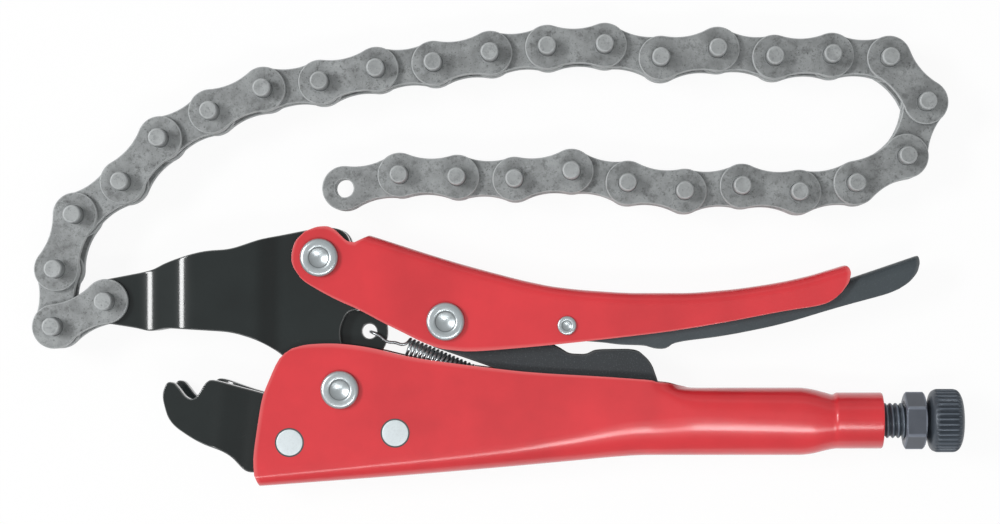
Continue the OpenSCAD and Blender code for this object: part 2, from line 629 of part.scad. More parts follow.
function numbered(name, i) = str(name, i < 9 ? "_0" : "_", i + 1);
chain_pairs = chain_links / 2;
outer_names = [for (i = [0:chain_pairs - 1]) numbered("chain_outer_link", i)];
inner_names = [for (i = [0:chain_pairs - 1]) numbered("chain_inner_link", i)];
lower_handle();
fixed_jaw_front();
fixed_jaw_rear();
fixed_jaw_spacers();
fixed_jaw_rivets();
jaw_pivot_rivet();
jaw_pivot_spacer();
moving_jaw_front();
moving_jaw_rear();
handle_pivot_spacer();
handle_pivot_rivet();
upper_handle();
toggle_rivet();
toggle_link();
release_lever();
lever_rivet();
return_spring();
spring_anchor_pin();
adjusting_screw();
lock_nut();
for (i = [0:chain_pairs - 1]) {
    chain_outer_link(i);
    chain_inner_link(i);
}
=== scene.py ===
"""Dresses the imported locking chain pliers: folded red handles, black jaws, chain, screw, spring and stage."""
import json
import math
from contextlib import contextmanager

import bmesh
import bpy
import numpy as np
from mathutils import Matrix, Vector


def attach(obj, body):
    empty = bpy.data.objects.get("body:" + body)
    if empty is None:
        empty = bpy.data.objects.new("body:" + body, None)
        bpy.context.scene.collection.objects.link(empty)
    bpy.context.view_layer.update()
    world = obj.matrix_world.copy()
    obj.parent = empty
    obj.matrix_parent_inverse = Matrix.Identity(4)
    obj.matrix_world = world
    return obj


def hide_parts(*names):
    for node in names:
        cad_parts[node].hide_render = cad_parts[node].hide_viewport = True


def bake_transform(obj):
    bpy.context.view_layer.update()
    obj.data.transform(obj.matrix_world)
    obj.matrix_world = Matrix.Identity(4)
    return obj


bl_info = {
    "name": "Locking chain pliers",
    "version": (1, 0, 0),
    "blender": (4, 5, 0),
    "location": "View3D > Sidebar > Chain pliers",
    "description": "Builds the visible pieces of a pair of locking chain pliers around its packed CAD frame",
    "category": "Object",
}

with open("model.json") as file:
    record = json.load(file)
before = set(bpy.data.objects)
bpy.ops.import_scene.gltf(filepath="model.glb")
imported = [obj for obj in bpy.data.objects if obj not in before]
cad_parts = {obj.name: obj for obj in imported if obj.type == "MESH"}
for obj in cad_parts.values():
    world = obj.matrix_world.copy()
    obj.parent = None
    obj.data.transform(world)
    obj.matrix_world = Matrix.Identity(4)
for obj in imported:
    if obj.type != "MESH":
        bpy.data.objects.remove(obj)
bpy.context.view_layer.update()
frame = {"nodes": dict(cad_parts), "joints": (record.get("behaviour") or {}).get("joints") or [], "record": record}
JOINTS = {joint["name"]: joint for joint in frame["joints"]}
MM = 0.001
# The jaw pivot is the origin of every size below, on the middle plane of the tool
JAW_PIVOT = Vector(JOINTS["jaw_swing"]["pos_m"])


def pivot(joint):
    """A joint's place in mm from the jaw pivot."""
    return (Vector(JOINTS[joint]["pos_m"]) - JAW_PIVOT) / MM


HANDLE_PIVOT = pivot("handle_swing")
TOGGLE_PIVOT = pivot("toggle_swing")
LEVER_PIVOT = pivot("release_press")
JAW_TIP = pivot("chain_hinge_01")
SCREW_Y = pivot("screw_turn").y
FLAT_RIVETS = [(-13.9, -14.5), (15.2, -11.9)]
SPRING_HOLE = (7.6, 16.1)
# Half the handles' width, and the thickness of their sheet
WALL_OUT = 6.5
SHEET = 1.8
# A jaw plate's thickness, and the level of its inner face at the pivots and at the prongs
JAW_T = 3.0
JAW_IN = 1.5
PRONG_IN = 5.8
# Shank, head and height of the headed rivets, and the play of a pin that turns
PIVOT_RIVET = (6, 10.5, 1.6)
LEVER_RIVET = (3.2, 5.2, 0.8)
PLAY = 0.12
PIVOT_BORE = PIVOT_RIVET[0] + PLAY
# Radius of the thread's hole in the tail and in the nut
SCREW_BORE = 4.96
PIN_END = 8.8
CHAIN_LINKS = 30
# Steps up a folded wall, and round a quarter of a fold
WALL_STEPS = 18
FOLD_STEPS = 7
# Points nearer than this in mm become one, and edges beyond this many degrees stay sharp
WELD = 0.002
SHARP = 38


# Settings

def metric(label, text, default, **more):
    return bpy.props.FloatProperty(name=label, description=text, default=default, **more)


def shade(label, text, default):
    return bpy.props.FloatVectorProperty(name=label, description=text, default=default, subtype="COLOR",
                                         min=0, max=1)


class PliersColours(bpy.types.PropertyGroup):
    """Colours of the finishes, in linear light."""
    red: shade("Handle red", "Gloss paint on both handles", (0.655, 0.0235, 0.033))
    black: shade("Jaw black", "Gloss coating on the jaw plates", (0.012, 0.0165, 0.0165))
    link: shade("Link grey", "Bare dark steel of the toggle link", (0.031, 0.0365, 0.0405))
    lever: shade("Lever grey", "Satin coating on the release lever", (0.052, 0.065, 0.073))
    chain: shade("Chain grey", "Rolled steel of the chain plates", (0.25, 0.262, 0.264))
    zinc: shade("Rivet zinc", "Plated steel of the rivets", (0.68, 0.745, 0.77))
    screw: shade("Screw black", "Black oxide on screw and knob", (0.064, 0.077, 0.094))
    nut: shade("Nut grey", "Worn oxide on the lock nut", (0.08, 0.09, 0.11))


class PliersSizes(bpy.types.PropertyGroup):
    """Sizes of the visible detail, in millimetres."""
    sheet_rim: metric("Sheet rim", "Radius of the handles' sheared edges, mm", 0.5, min=0.1, max=0.8)
    plate_rim: metric("Plate rim", "Radius of the plates' stamped edges, mm", 0.35, min=0.1, max=0.6)
    pitch: metric("Chain pitch", "Distance from pin to pin, mm", 15.875, min=15, max=17)
    plate_end: metric("Plate end", "Radius of a link plate's ends, mm", 6.15, min=5, max=7)
    plate_waist: metric("Plate waist", "Width of a link plate at its waist, mm", 9.6, min=8, max=11)
    pin: metric("Pin", "Diameter of a link pin, mm", 5.0, min=4, max=6)
    thread: metric("Thread pitch", "Pitch of the adjusting screw, mm", 1.5, min=1, max=2)
    grooves: bpy.props.IntProperty(name="Knob grooves", description="Grooves round the knob", default=36,
                                   min=20, max=60)


class PliersStage(bpy.types.PropertyGroup):
    """Camera and light."""
    distance: metric("Camera height", "Height of the camera above the pin tops", 0.6, unit="LENGTH")
    span: metric("Frame width", "Width that the frame covers at the pin tops", 0.2742, unit="LENGTH")
    key: metric("Front power", "Power of the long light in front", 1.15, subtype="POWER", unit="POWER")
    strip: metric("Strip power", "Power of the narrow light on the left", 11.5, subtype="POWER", unit="POWER")
    sky: metric("Sky", "Strength of the even light from all round", 0.37)


class PliersSettings(bpy.types.PropertyGroup):
    """All settings of the pliers."""
    colours: bpy.props.PointerProperty(type=PliersColours)
    sizes: bpy.props.PointerProperty(type=PliersSizes)
    stage: bpy.props.PointerProperty(type=PliersStage)


# Finishes

class Wire:
    """A socket of a finish. Sums and products of wires add their Math nodes."""

    def __init__(self, finish, socket):
        self.finish = finish
        self.socket = socket

    def math(self, operation, *values):
        return self.finish.node("ShaderNodeMath", {"operation": operation}, dict(enumerate(values)))

    def __add__(self, other):
        return self.math("ADD", self, other)

    def __sub__(self, other):
        return self.math("SUBTRACT", self, other)

    def __rsub__(self, other):
        return self.math("SUBTRACT", other, self)

    def __mul__(self, other):
        return self.math("MULTIPLY", self, other)

    __radd__ = __add__
    __rmul__ = __mul__


class Finish:
    """A material made of nodes."""

    def __init__(self, name):
        self.material = bpy.data.materials.new(name)
        self.material.use_nodes = True
        self.tree = self.material.node_tree
        self.tree.nodes.clear()

    def node(self, kind, settings=None, sockets=None, out=0):
        made = self.tree.nodes.new(kind)
        for key, value in (settings or {}).items():
            if key == "stops":
                ramp = made.color_ramp
                while len(ramp.elements) < len(value):
                    ramp.elements.new(0.5)
                for element, (at, level) in zip(ramp.elements, value):
                    element.position = at
                    element.color = (level, level, level, 1)
            else:
                setattr(made, key, value)
        for key, value in (sockets or {}).items():
            if isinstance(value, Wire):
                self.tree.links.new(value.socket, made.inputs[key])
            else:
                made.inputs[key].default_value = value
        return Wire(self, made.outputs[out])

    def noise(self, per_metre, detail=3.0, rough=0.55, seed=0.0, stretch=None):
        """Noise in the piece's own coordinates."""
        spot = self.node("ShaderNodeTexCoord", out="Object")
        if stretch:
            spot = self.node("ShaderNodeVectorMath", {"operation": "MULTIPLY"}, {0: spot, 1: stretch})
        sockets = {"Vector": spot, "W": seed, "Scale": per_metre, "Detail": detail, "Roughness": rough}
        return self.node("ShaderNodeTexNoise", {"noise_dimensions": "4D"}, sockets)

    def ramp(self, value, *stops):
        return self.node("ShaderNodeValToRGB", {"stops": stops}, {0: value})

    def mix(self, share, a, b):
        return self.node("ShaderNodeMix", {"data_type": "RGBA"}, {0: share, 6: a, 7: b}, out=2)

    def largest(self, first, *others):
        for other in others:
            first = first.math("MAXIMUM", first, other)
        return first

    def rim(self):
        """One on the rounded edges of a piece and nought on its faces."""
        return self.node("ShaderNodeAttribute", {"attribute_name": "rim"}, out="Fac")

    def bump(self, height, depth_mm):
        sockets = {"Strength": 1.0, "Distance": depth_mm * MM, "Height": height}
        return self.node("ShaderNodeBump", None, sockets)

    def surface(self, **sockets):
        named = {key.replace("_", " ").title().replace("Ior", "IOR"): value for key, value in sockets.items()}
        shader = self.node("ShaderNodeBsdfPrincipled", None, named)
        self.node_to_output(shader)
        return self.material

    def node_to_output(self, shader):
        output = self.tree.nodes.new("ShaderNodeOutputMaterial")
        self.tree.links.new(shader.socket, output.inputs["Surface"])


def rgba(colour, gain=1.0):
    return (*[min(1.0, c * gain) for c in colour], 1.0)


def red_gloss(colour):
    f = Finish("red_gloss")
    cloud = f.noise(45, 4)
    peel = f.noise(1500, 2)
    grime = f.ramp(f.noise(260, 6, 0.7, seed=3.1), (0.62, 0.0), (0.8, 1.0))
    tone = f.mix(f.ramp(cloud, (0.35, 0.0), (0.7, 1.0)), rgba(colour, 0.9), rgba(colour, 1.12))
    # The sheared edges turn pale pink: a painted highlight along them
    sheen_and_wear = f.mix(f.rim() * 0.3, tone, rgba((0.9, 0.34, 0.33)))
    dusty = f.mix(grime * 0.1, sheen_and_wear, rgba((0.2, 0.02, 0.02)))
    return f.surface(base_color=dusty, roughness=0.3 + 0.1 * cloud + 0.12 * grime, coat_weight=0.8,
                     coat_roughness=0.16, normal=f.bump(peel + 0.6 * f.noise(420, 2), 0.012))


def black_coat(colour):
    f = Finish("black_coat")
    cloud = f.noise(60, 4, seed=1.7)
    dents = f.noise(700, 3, seed=2.0)
    scuffs = f.ramp(f.noise(330, 8, 0.75, seed=5.0, stretch=(0.35, 1, 1)), (0.63, 0.0), (0.72, 1.0))
    tone = f.mix(cloud, rgba(colour, 0.7), rgba(colour, 1.4))
    edged = f.mix(f.rim() * 0.45, tone, rgba((0.24, 0.25, 0.25)))
    scuffed = f.mix(scuffs * 0.16, edged, rgba((0.1, 0.105, 0.1)))
    return f.surface(base_color=scuffed, roughness=0.3 + 0.1 * cloud + 0.18 * scuffs, specular_ior_level=0.1,
                     coat_weight=1 - 0.3 * scuffs, coat_roughness=0.13,
                     normal=f.bump(dents + 0.4 * f.noise(2200, 2), 0.014))


def satin_grey(name, colour, roughness, speckle):
    f = Finish(name)
    cloud = f.noise(80, 4, seed=4.0)
    grain = f.noise(2600, 2, 0.7, seed=1.0)
    dots = f.ramp(grain, (0.56, 0.0), (0.68, 1.0))
    tone = f.mix(cloud, rgba(colour, 0.82), rgba(colour, 1.3))
    dotted = f.mix(dots * speckle, tone, rgba(colour, 3.2))
    edged = f.mix(f.rim() * 0.4, dotted, rgba((0.2, 0.205, 0.205)))
    return f.surface(base_color=edged, roughness=roughness + 0.12 * cloud, metallic=0.25,
                     normal=f.bump(grain + 0.5 * f.noise(900, 3), 0.03))


def rolled_steel(colour):
    f = Finish("rolled_steel")
    own = f.node("ShaderNodeObjectInfo", out="Random") * 40.0
    cloud = f.ramp(f.noise(170, 5, 0.65, seed=own), (0.32, 0.0), (0.68, 1.0))
    grain = f.noise(2400, 3, 0.7, seed=own)
    stains = f.ramp(f.noise(480, 8, 0.75, seed=own + 7.0), (0.51, 0.0), (0.62, 1.0))
    pits = f.ramp(f.noise(1700, 4, 0.75, seed=own + 3.0), (0.57, 0.0), (0.64, 1.0))
    tone = f.mix(cloud, rgba(colour, 0.75), rgba(colour, 1.4))
    stained = f.mix(stains * 0.55, tone, rgba(colour, 0.36))
    pitted = f.mix(pits * 0.7, stained, rgba(colour, 0.2))
    # Rims are lighter: worn plate edges, and a painted highlight on the pins' chamfer rings
    edged = f.mix(f.rim() * 0.6, pitted, rgba(colour, 2.3))
    return f.surface(base_color=edged, roughness=0.46 + 0.16 * cloud + 0.12 * stains, metallic=0.3,
                     normal=f.bump(grain + 0.8 * cloud - 0.7 * pits, 0.035))


def plated(name, colour, roughness, metallic):
    """Bright metal with fine marks; the rim is a dark line of painted shade in grooves and round edges."""
    f = Finish(name)
    cloud = f.noise(220, 4, seed=6.0)
    marks = f.noise(1800, 3, 0.65, seed=2.5)
    tone = f.mix(cloud, rgba(colour, 0.86), rgba(colour, 1.1))
    dull = f.mix(f.ramp(marks, (0.5, 0.0), (0.75, 1.0)) * 0.25, tone, rgba(colour, 0.5))
    shade_lined = f.mix(f.rim() * 0.95, dull, rgba(colour, 0.04))
    return f.surface(base_color=shade_lined, roughness=roughness + 0.14 * marks, metallic=metallic * (1 - f.rim()),
                     normal=f.bump(marks + 0.4 * cloud, 0.005))


def black_oxide(name, colour):
    f = Finish(name)
    cloud = f.noise(150, 4, seed=8.0)
    grain = f.noise(2000, 3, seed=3.0)
    tone = f.mix(cloud, rgba(colour, 0.7), rgba(colour, 1.4))
    # Rims are lighter: wear, and a painted highlight on the thread's crests, the knob's ridges and the nut's
    # chamfers
    edged = f.mix(f.rim() * 0.4, tone, rgba(colour, 4))
    return f.surface(base_color=edged, roughness=0.34 + 0.15 * cloud, metallic=0.3,
                     normal=f.bump(grain, 0.012))


MAKERS = {
    "red_gloss": lambda c: red_gloss(c.red),
    "black_coat": lambda c: black_coat(c.black),
    "forged_steel": lambda c: satin_grey("forged_steel", c.link, 0.55, 0.5),
    "lever_coat": lambda c: satin_grey("lever_coat", c.lever, 0.42, 0.12),
    "rolled_steel": lambda c: rolled_steel(c.chain),
    "rivet_zinc": lambda c: plated("rivet_zinc", tuple(0.85 * v for v in c.zinc), 0.26, 0.8),
    "flat_rivet": lambda c: plated("flat_rivet", c.zinc, 0.4, 0.35),
    "spring_wire": lambda c: plated("spring_wire", tuple(0.75 * v for v in c.zinc), 0.22, 0.9),
    "turned_steel": lambda c: plated("turned_steel", tuple(0.5 * v for v in c.zinc), 0.4, 0.85),
    "black_oxide": lambda c: black_oxide("black_oxide", c.screw),
    "worn_oxide": lambda c: black_oxide("worn_oxide", c.nut),
}


def finish(context, name):
    return bpy.data.materials.get(name) or MAKERS[name](context.scene.chain_pliers.colours)


# Shapes: points are in mm from the jaw pivot

def clamp(share):
    """Keeps a share between nought and one."""
    return min(1.0, max(0.0, share))


def turns(count):
    """Angles at even steps of a full turn."""
    return np.linspace(0, 2 * math.pi, count, endpoint=False)


def arc(at, r, start, end, count):
    """Points round a centre, from one angle to another in degrees."""
    return [(at[0] + r * math.cos(a), at[1] + r * math.sin(a))
            for a in np.radians(np.linspace(start, end, count))]


def rounded(a, b, c, steps):
    """Points on the curve from a to c that rounds the corner b."""
    return [(1 - t) ** 2 * a + 2 * t * (1 - t) * b + t * t * c for t in np.linspace(0, 1, steps + 1)]


def soft(points, steps=6):
    """Rounds the corners that have a third number, which is a share of the sides next to them."""
    out = []
    for i, (x, y, *ease) in enumerate(points):
        b = np.array([x, y], float)
        if ease:
            a = b + (np.array(points[i - 1][:2]) - b) * ease[0]
            c = b + (np.array(points[(i + 1) % len(points)][:2]) - b) * ease[0]
            out += rounded(a, b, c, steps)
        else:
            out.append(b)
    return np.array(out)


def along(points, shares):
    """Points at the given shares of a line's length."""
    points = np.asarray(points, float)
    run = np.concatenate([[0], np.cumsum(np.linalg.norm(np.diff(points, axis=0), axis=1))])
    run /= run[-1]
    return np.stack([np.interp(shares, run, points[:, k]) for k in range(points.shape[1])], axis=1)


def between(t, a, slope_a, b, slope_b):
    """A smooth curve from a to b with these slopes at its ends, for t from 0 to 1."""
    return ((2 * t ** 3 - 3 * t ** 2 + 1) * a + (t ** 3 - 2 * t ** 2 + t) * slope_a
            + (-2 * t ** 3 + 3 * t ** 2) * b + (t ** 3 - t ** 2) * slope_b)


def smooth_line(points, count, tight=0.0):
    """A smooth curve through points, at even steps of its length."""
    p = np.asarray(points, float)
    ends = np.vstack([2 * p[0] - p[1], p, 2 * p[-1] - p[-2]])
    slopes = (1 - tight) * (ends[2:] - ends[:-2]) / 2
    out = []
    for i in range(len(p) - 1):
        out += [between(t, p[i], slopes[i], p[i + 1], slopes[i + 1])
                for t in np.linspace(0, 1, 12, endpoint=False)]
    out.append(p[-1])
    return along(out, np.linspace(0, 1, count))


def smooth_value(table, x):
    """A smooth value through (x, value) pairs."""
    xs = np.array([row[0] for row in table], float)
    ys = np.array([row[1] for row in table], float)
    steps = np.diff(ys) / np.diff(xs)
    pairs = steps[:-1] * steps[1:]
    slopes = np.concatenate([steps[:1], np.zeros(len(pairs)), steps[-1:]])
    # No slope where the value turns, so that it never swings past the table
    np.divide(2 * pairs, steps[:-1] + steps[1:], out=slopes[1:-1], where=pairs > 0)
    x = np.clip(x, xs[0], xs[-1])
    i = np.clip(np.searchsorted(xs, x) - 1, 0, len(xs) - 2)
    w = xs[i + 1] - xs[i]
    t = (x - xs[i]) / w
    return between(t, ys[i], w * slopes[i], ys[i + 1], w * slopes[i + 1])


def patch(low, high, left, right):
    """A grid of points between four boundary lines; low and high run alike, and so do left and right."""
    nu, nv = len(low), len(left)
    u = np.linspace(0, 1, nu)[:, None, None]
    v = np.linspace(0, 1, nv)[None, :, None]
    low, high = low[:, None, :], high[:, None, :]
    left, right = left[None, :, :], right[None, :, :]
    corners = ((1 - u) * (1 - v) * low[:1] + u * (1 - v) * low[-1:]
               + (1 - u) * v * high[:1] + u * v * high[-1:])
    return (1 - v) * low + v * high + (1 - u) * left + u * right - corners


def new_mesh(name, points, faces):
    mesh = bpy.data.meshes.new(name)
    mesh.from_pydata([tuple(p) for p in points], [], [tuple(f) for f in faces])
    mesh.update()
    return mesh


@contextmanager
def edited(mesh):
    """A mesh opened for edits, which are kept at the end."""
    bm = bmesh.new()
    bm.from_mesh(mesh)
    yield bm
    bm.to_mesh(mesh)
    bm.free()


def tidy_normals(mesh):
    with edited(mesh) as bm:
        bmesh.ops.remove_doubles(bm, verts=bm.verts, dist=WELD)
        bmesh.ops.recalc_face_normals(bm, faces=bm.faces)


def applied(holder):
    """The mesh of an object with its modifiers applied; the object is removed."""
    bpy.context.scene.collection.objects.link(holder)
    depsgraph = bpy.context.evaluated_depsgraph_get()
    mesh = bpy.data.meshes.new_from_object(holder.evaluated_get(depsgraph), depsgraph=depsgraph)
    bpy.data.objects.remove(holder)
    return mesh


def joined(name, *meshes):
    bm = bmesh.new()
    for mesh in meshes:
        bm.from_mesh(mesh)
        bpy.data.meshes.remove(mesh)
    mesh = bpy.data.meshes.new(name)
    bm.to_mesh(mesh)
    bm.free()
    return mesh


def set_rim(mesh, rule):
    """Gives every vertex the share of edge wear that the rule says."""
    attribute = mesh.attributes.new("rim", "FLOAT", "POINT")
    attribute.data.foreach_set("value", np.array([rule(v) for v in mesh.vertices], np.float32))


def to_frame(mesh, at=(0, 0, 0), turn=Matrix.Identity(4)):
    """From mm at the jaw pivot to metres in the frame."""
    scale = Matrix.Diagonal((MM, MM, MM, 1))
    mesh.transform(Matrix.Translation(JAW_PIVOT) @ scale @ Matrix.Translation(Vector(at)) @ turn)
    return mesh


def mirror(mesh):
    """Moves a plate to the other side of the tool."""
    mesh.transform(Matrix.Diagonal((1, 1, -1, 1)))
    mesh.flip_normals()


def piece(context, name, mesh, material, body, slot, *nodes, at=(0, 0, 0)):
    """A finished piece that rides on a body and stands for CAD nodes."""
    for polygon in mesh.polygons:
        polygon.use_smooth = True
    mesh.set_sharp_from_angle(angle=math.radians(SHARP))
    mesh.materials.append(finish(context, material))
    obj = bpy.data.objects.new(name, mesh)
    context.scene.collection.objects.link(obj)
    obj.location = at
    weighted = obj.modifiers.new("even_normals", "WEIGHTED_NORMAL")
    weighted.keep_sharp = True
    weighted.weight = 80
    if body:
        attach(obj, body)
    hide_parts(*nodes)
    return obj


def plate(loops, thickness, rim, low=0.0):
    """A flat plate with rounded edges: the first loop is its outline, the others are holes."""
    curve = bpy.data.curves.new("plate", "CURVE")
    curve.dimensions = "2D"
    curve.fill_mode = "BOTH"
    curve.extrude = thickness / 2 - rim
    curve.bevel_depth = rim
    curve.bevel_resolution = 2
    curve.offset = -rim
    for loop in loops:
        spline = curve.splines.new("POLY")
        spline.points.add(len(loop) - 1)
        spline.use_cyclic_u = True
        for point, (x, y) in zip(spline.points, loop):
            point.co = (x, y, 0, 1)
    mesh = applied(bpy.data.objects.new("plate", curve))
    bpy.data.curves.remove(curve)
    middle = low + thickness / 2
    mesh.transform(Matrix.Translation((0, 0, middle)))
    tidy_normals(mesh)
    set_rim(mesh, lambda v: abs(v.co.z - middle) < 0.49 * thickness)
    return mesh


def ring(at, d):
    return [(at[0] + d / 2 * math.cos(a), at[1] + d / 2 * math.sin(a)) for a in turns(48)]


def bent(mesh, level, cuts, lean=0.0):
    """Lifts a plate to level(x), after cutting it along lines across x so that it can bend."""
    across = Matrix.Rotation(math.radians(lean), 3, "Z") @ Vector((1, 0, 0))
    with edited(mesh) as bm:
        for x in cuts:
            whole = [*bm.verts, *bm.edges, *bm.faces]
            bmesh.ops.bisect_plane(bm, geom=whole, plane_co=across * x, plane_no=across)
        for vert in bm.verts:
            vert.co.z += level(across.dot(vert.co))
    return mesh


def unit(v):
    return np.asarray(v, float) / np.linalg.norm(v)


def bend_level(points):
    """The level of a bent line of [x, level, reach], rounded that far to each side of every bend."""
    line = [points[0][:2]]
    for i in range(1, len(points) - 1):
        b = np.array(points[i][:2], float)
        a = b + points[i][2] * unit(np.array(points[i - 1][:2]) - b)
        c = b + points[i][2] * unit(np.array(points[i + 1][:2]) - b)
        line += rounded(a, b, c, 8)
    line.append(points[-1][:2])
    xs, zs = zip(*line)
    return lambda x: float(np.interp(x, xs, zs))


def lathe(profile, count=72, closed=False):
    """Turns (radius, height) points round Z. Radius 0 closes the shape."""
    points, faces, rings = [], [], []
    for r, h in profile:
        if r < 1e-6:
            rings.append([len(points)])
            points.append((0, 0, h))
        else:
            rings.append(list(range(len(points), len(points) + count)))
            points += [(r * math.cos(a), r * math.sin(a), h) for a in turns(count)]
    pairs = list(zip(rings, rings[1:]))
    if closed:
        pairs.append((rings[-1], rings[0]))
    for a, b in pairs:
        for k in range(count):
            n = (k + 1) % count
            quad = [a[k % len(a)], a[n % len(a)], b[n % len(b)], b[k % len(b)]]
            face = list(dict.fromkeys(quad))
            if len(face) > 2:
                faces.append(face)
    mesh = new_mesh("lathe", points, faces)
    tidy_normals(mesh)
    return mesh


def alike(half, count):
    """A turned piece with both ends alike, from its profile between the middle and one end."""
    return lathe([(r, -h) for r, h in reversed(half) if h != 0] + half, count)


def tube_faces(rings, count, closed=False):
    """The faces between rings of points: closed joins the last ring to the first, or else ends are flat."""
    faces = []
    for i in range(rings if closed else rings - 1):
        low, high = i * count, (i + 1) % rings * count
        faces += [(low + k, low + (k + 1) % count, high + (k + 1) % count, high + k) for k in range(count)]
    if not closed:
        faces += [tuple(range(count)), tuple(range((rings - 1) * count, rings * count))]
    return faces


def round_grid(rows, count, radius, closed=False):
    """A surface round X: radius(row, angle) at each row's x."""
    points = []
    for i, x in enumerate(rows):
        for a in turns(count):
            r = radius(i, a)
            points.append((x, r * math.cos(a), r * math.sin(a)))
    mesh = new_mesh("round_grid", points, tube_faces(len(rows), count, closed))
    tidy_normals(mesh)
    return mesh


class FoldedSheet:
    """A sheet folded into a channel: two walls and the fold that joins them.

    Fold_table holds x and the fold's outside there. Radius is a function of x for the radius of the
    fold's corners, and depth one for how far up the wall they reach; up is 1 when the fold is on top.
    """

    def __init__(self, fold_table, up, half, radius, depth=None):
        self.fold_table = fold_table
        self.up = up
        self.half = half
        self.radius = radius
        self.depth = depth or radius
        self.points = []
        self.faces = []
        self.last = None

    def fold(self, x):
        return smooth_value(self.fold_table, x)

    def add(self, points, side):
        """Adds points on the front side, 1, or the same on the rear, -1."""
        first = len(self.points)
        self.points += [(x, y, side * z) for x, y, z in points]
        return list(range(first, len(self.points)))

    def quads(self, a, b):
        self.faces += [(a[i], a[i + 1], b[i + 1], b[i]) for i in range(len(a) - 1)]

    def across(self, wall_a, wall_b, corner):
        """A row of points over the fold, from one wall's last point to the other's."""
        upper = self.add(corner, 1)
        lower = self.add(corner, -1)
        return [wall_a[-1], *upper, *reversed(lower), wall_b[-1]]

    def front(self, free, start, end, edge, left, right, lean=(0, 0), steps=90):
        """The walls as grids, and the fold over x from start to end.

        Free is the part of a wall's near line that has no fold, edge the line opposite the fold,
        and lean how far the fold's two ends lean along x, the first straight and the second rounded.
        The last column is kept for a tail.
        """
        xs = np.linspace(start, end, steps)
        near = np.stack([xs, self.fold(xs) - self.up * self.depth(xs)], axis=1)
        if len(free):
            near = np.vstack([smooth_line([*free, near[0]], count=26, tight=0.3)[:-1], near])
        far = along(edge, np.linspace(0, 1, len(near)))
        shares = np.linspace(0, 1, WALL_STEPS)
        grid = patch(far, near, along(left, shares), along(right, shares))
        walls = []
        for side in (1, -1):
            columns = [self.add([(x, y, self.half) for x, y in column], side) for column in grid]
            for a, b in zip(columns, columns[1:]):
                self.quads(a, b)
            walls.append(columns)
        fade = 8
        row = None
        for i in range(len(near) - steps, len(near)):
            x = near[i, 0]
            radius = self.radius(x)
            corner = []
            for k in range(1, FOLD_STEPS + 1):
                a = math.radians(90 * k / FOLD_STEPS)
                leant = x + lean[0] * max(0, 1 - (x - start) / fade) * math.sin(a)
                leant += lean[1] * max(0, 1 - (end - x) / fade) * (1 - math.cos(a))
                corner.append((leant, self.fold(leant) - self.up * self.depth(x) * (1 - math.sin(a)),
                               self.half - radius + radius * math.cos(a)))
            previous, row = row, self.across(walls[0][i], walls[1][i], corner)
            if previous:
                self.quads(previous, row)
        self.last = (walls[0][-1], row, walls[1][-1])

    def tail(self, stations):
        """Rings that carry the channel on: each has the points of a wall and of a corner of the fold."""
        for wall, corner in stations:
            front = self.add(wall, 1)
            rear = self.add(wall, -1)
            new = (front, self.across(front, rear, corner), rear)
            for a, b in zip((self.last[0], self.last[2], self.last[1]), (front, rear, new[1])):
                self.quads(a, b)
            self.last = new

    def mesh(self, thickness, rim):
        """The sheet with its thickness inside and rounded edges."""
        mesh = new_mesh("folded", self.points, self.faces)
        tidy_normals(mesh)
        mesh.materials.append(None)
        mesh.materials.append(None)
        with edited(mesh) as bm:
            top = max(bm.verts, key=lambda v: v.co.z)
            if top.link_faces[0].normal.z < 0:
                bmesh.ops.reverse_faces(bm, faces=bm.faces)
        holder = bpy.data.objects.new("folded", mesh)
        solid = holder.modifiers.new("thickness", "SOLIDIFY")
        solid.thickness = thickness
        solid.offset = -1
        solid.use_even_offset = True
        bevel = holder.modifiers.new("rim", "BEVEL")
        bevel.width = rim
        bevel.segments = 3
        bevel.limit_method = "ANGLE"
        bevel.angle_limit = math.radians(55)
        bevel.material = 1
        made = applied(holder)
        bpy.data.meshes.remove(mesh)
        edge = set()
        for polygon in made.polygons:
            if polygon.material_index == 1:
                edge.update(polygon.vertices)
                polygon.material_index = 0
        set_rim(made, lambda v: v.index in edge)
        made.materials.clear()
        return made


# Pieces

class PieceOperator:
    """What every operator of the pliers shares."""
    bl_options = {"REGISTER", "UNDO"}

    @property
    def sizes(self):
        return bpy.context.scene.chain_pliers.sizes


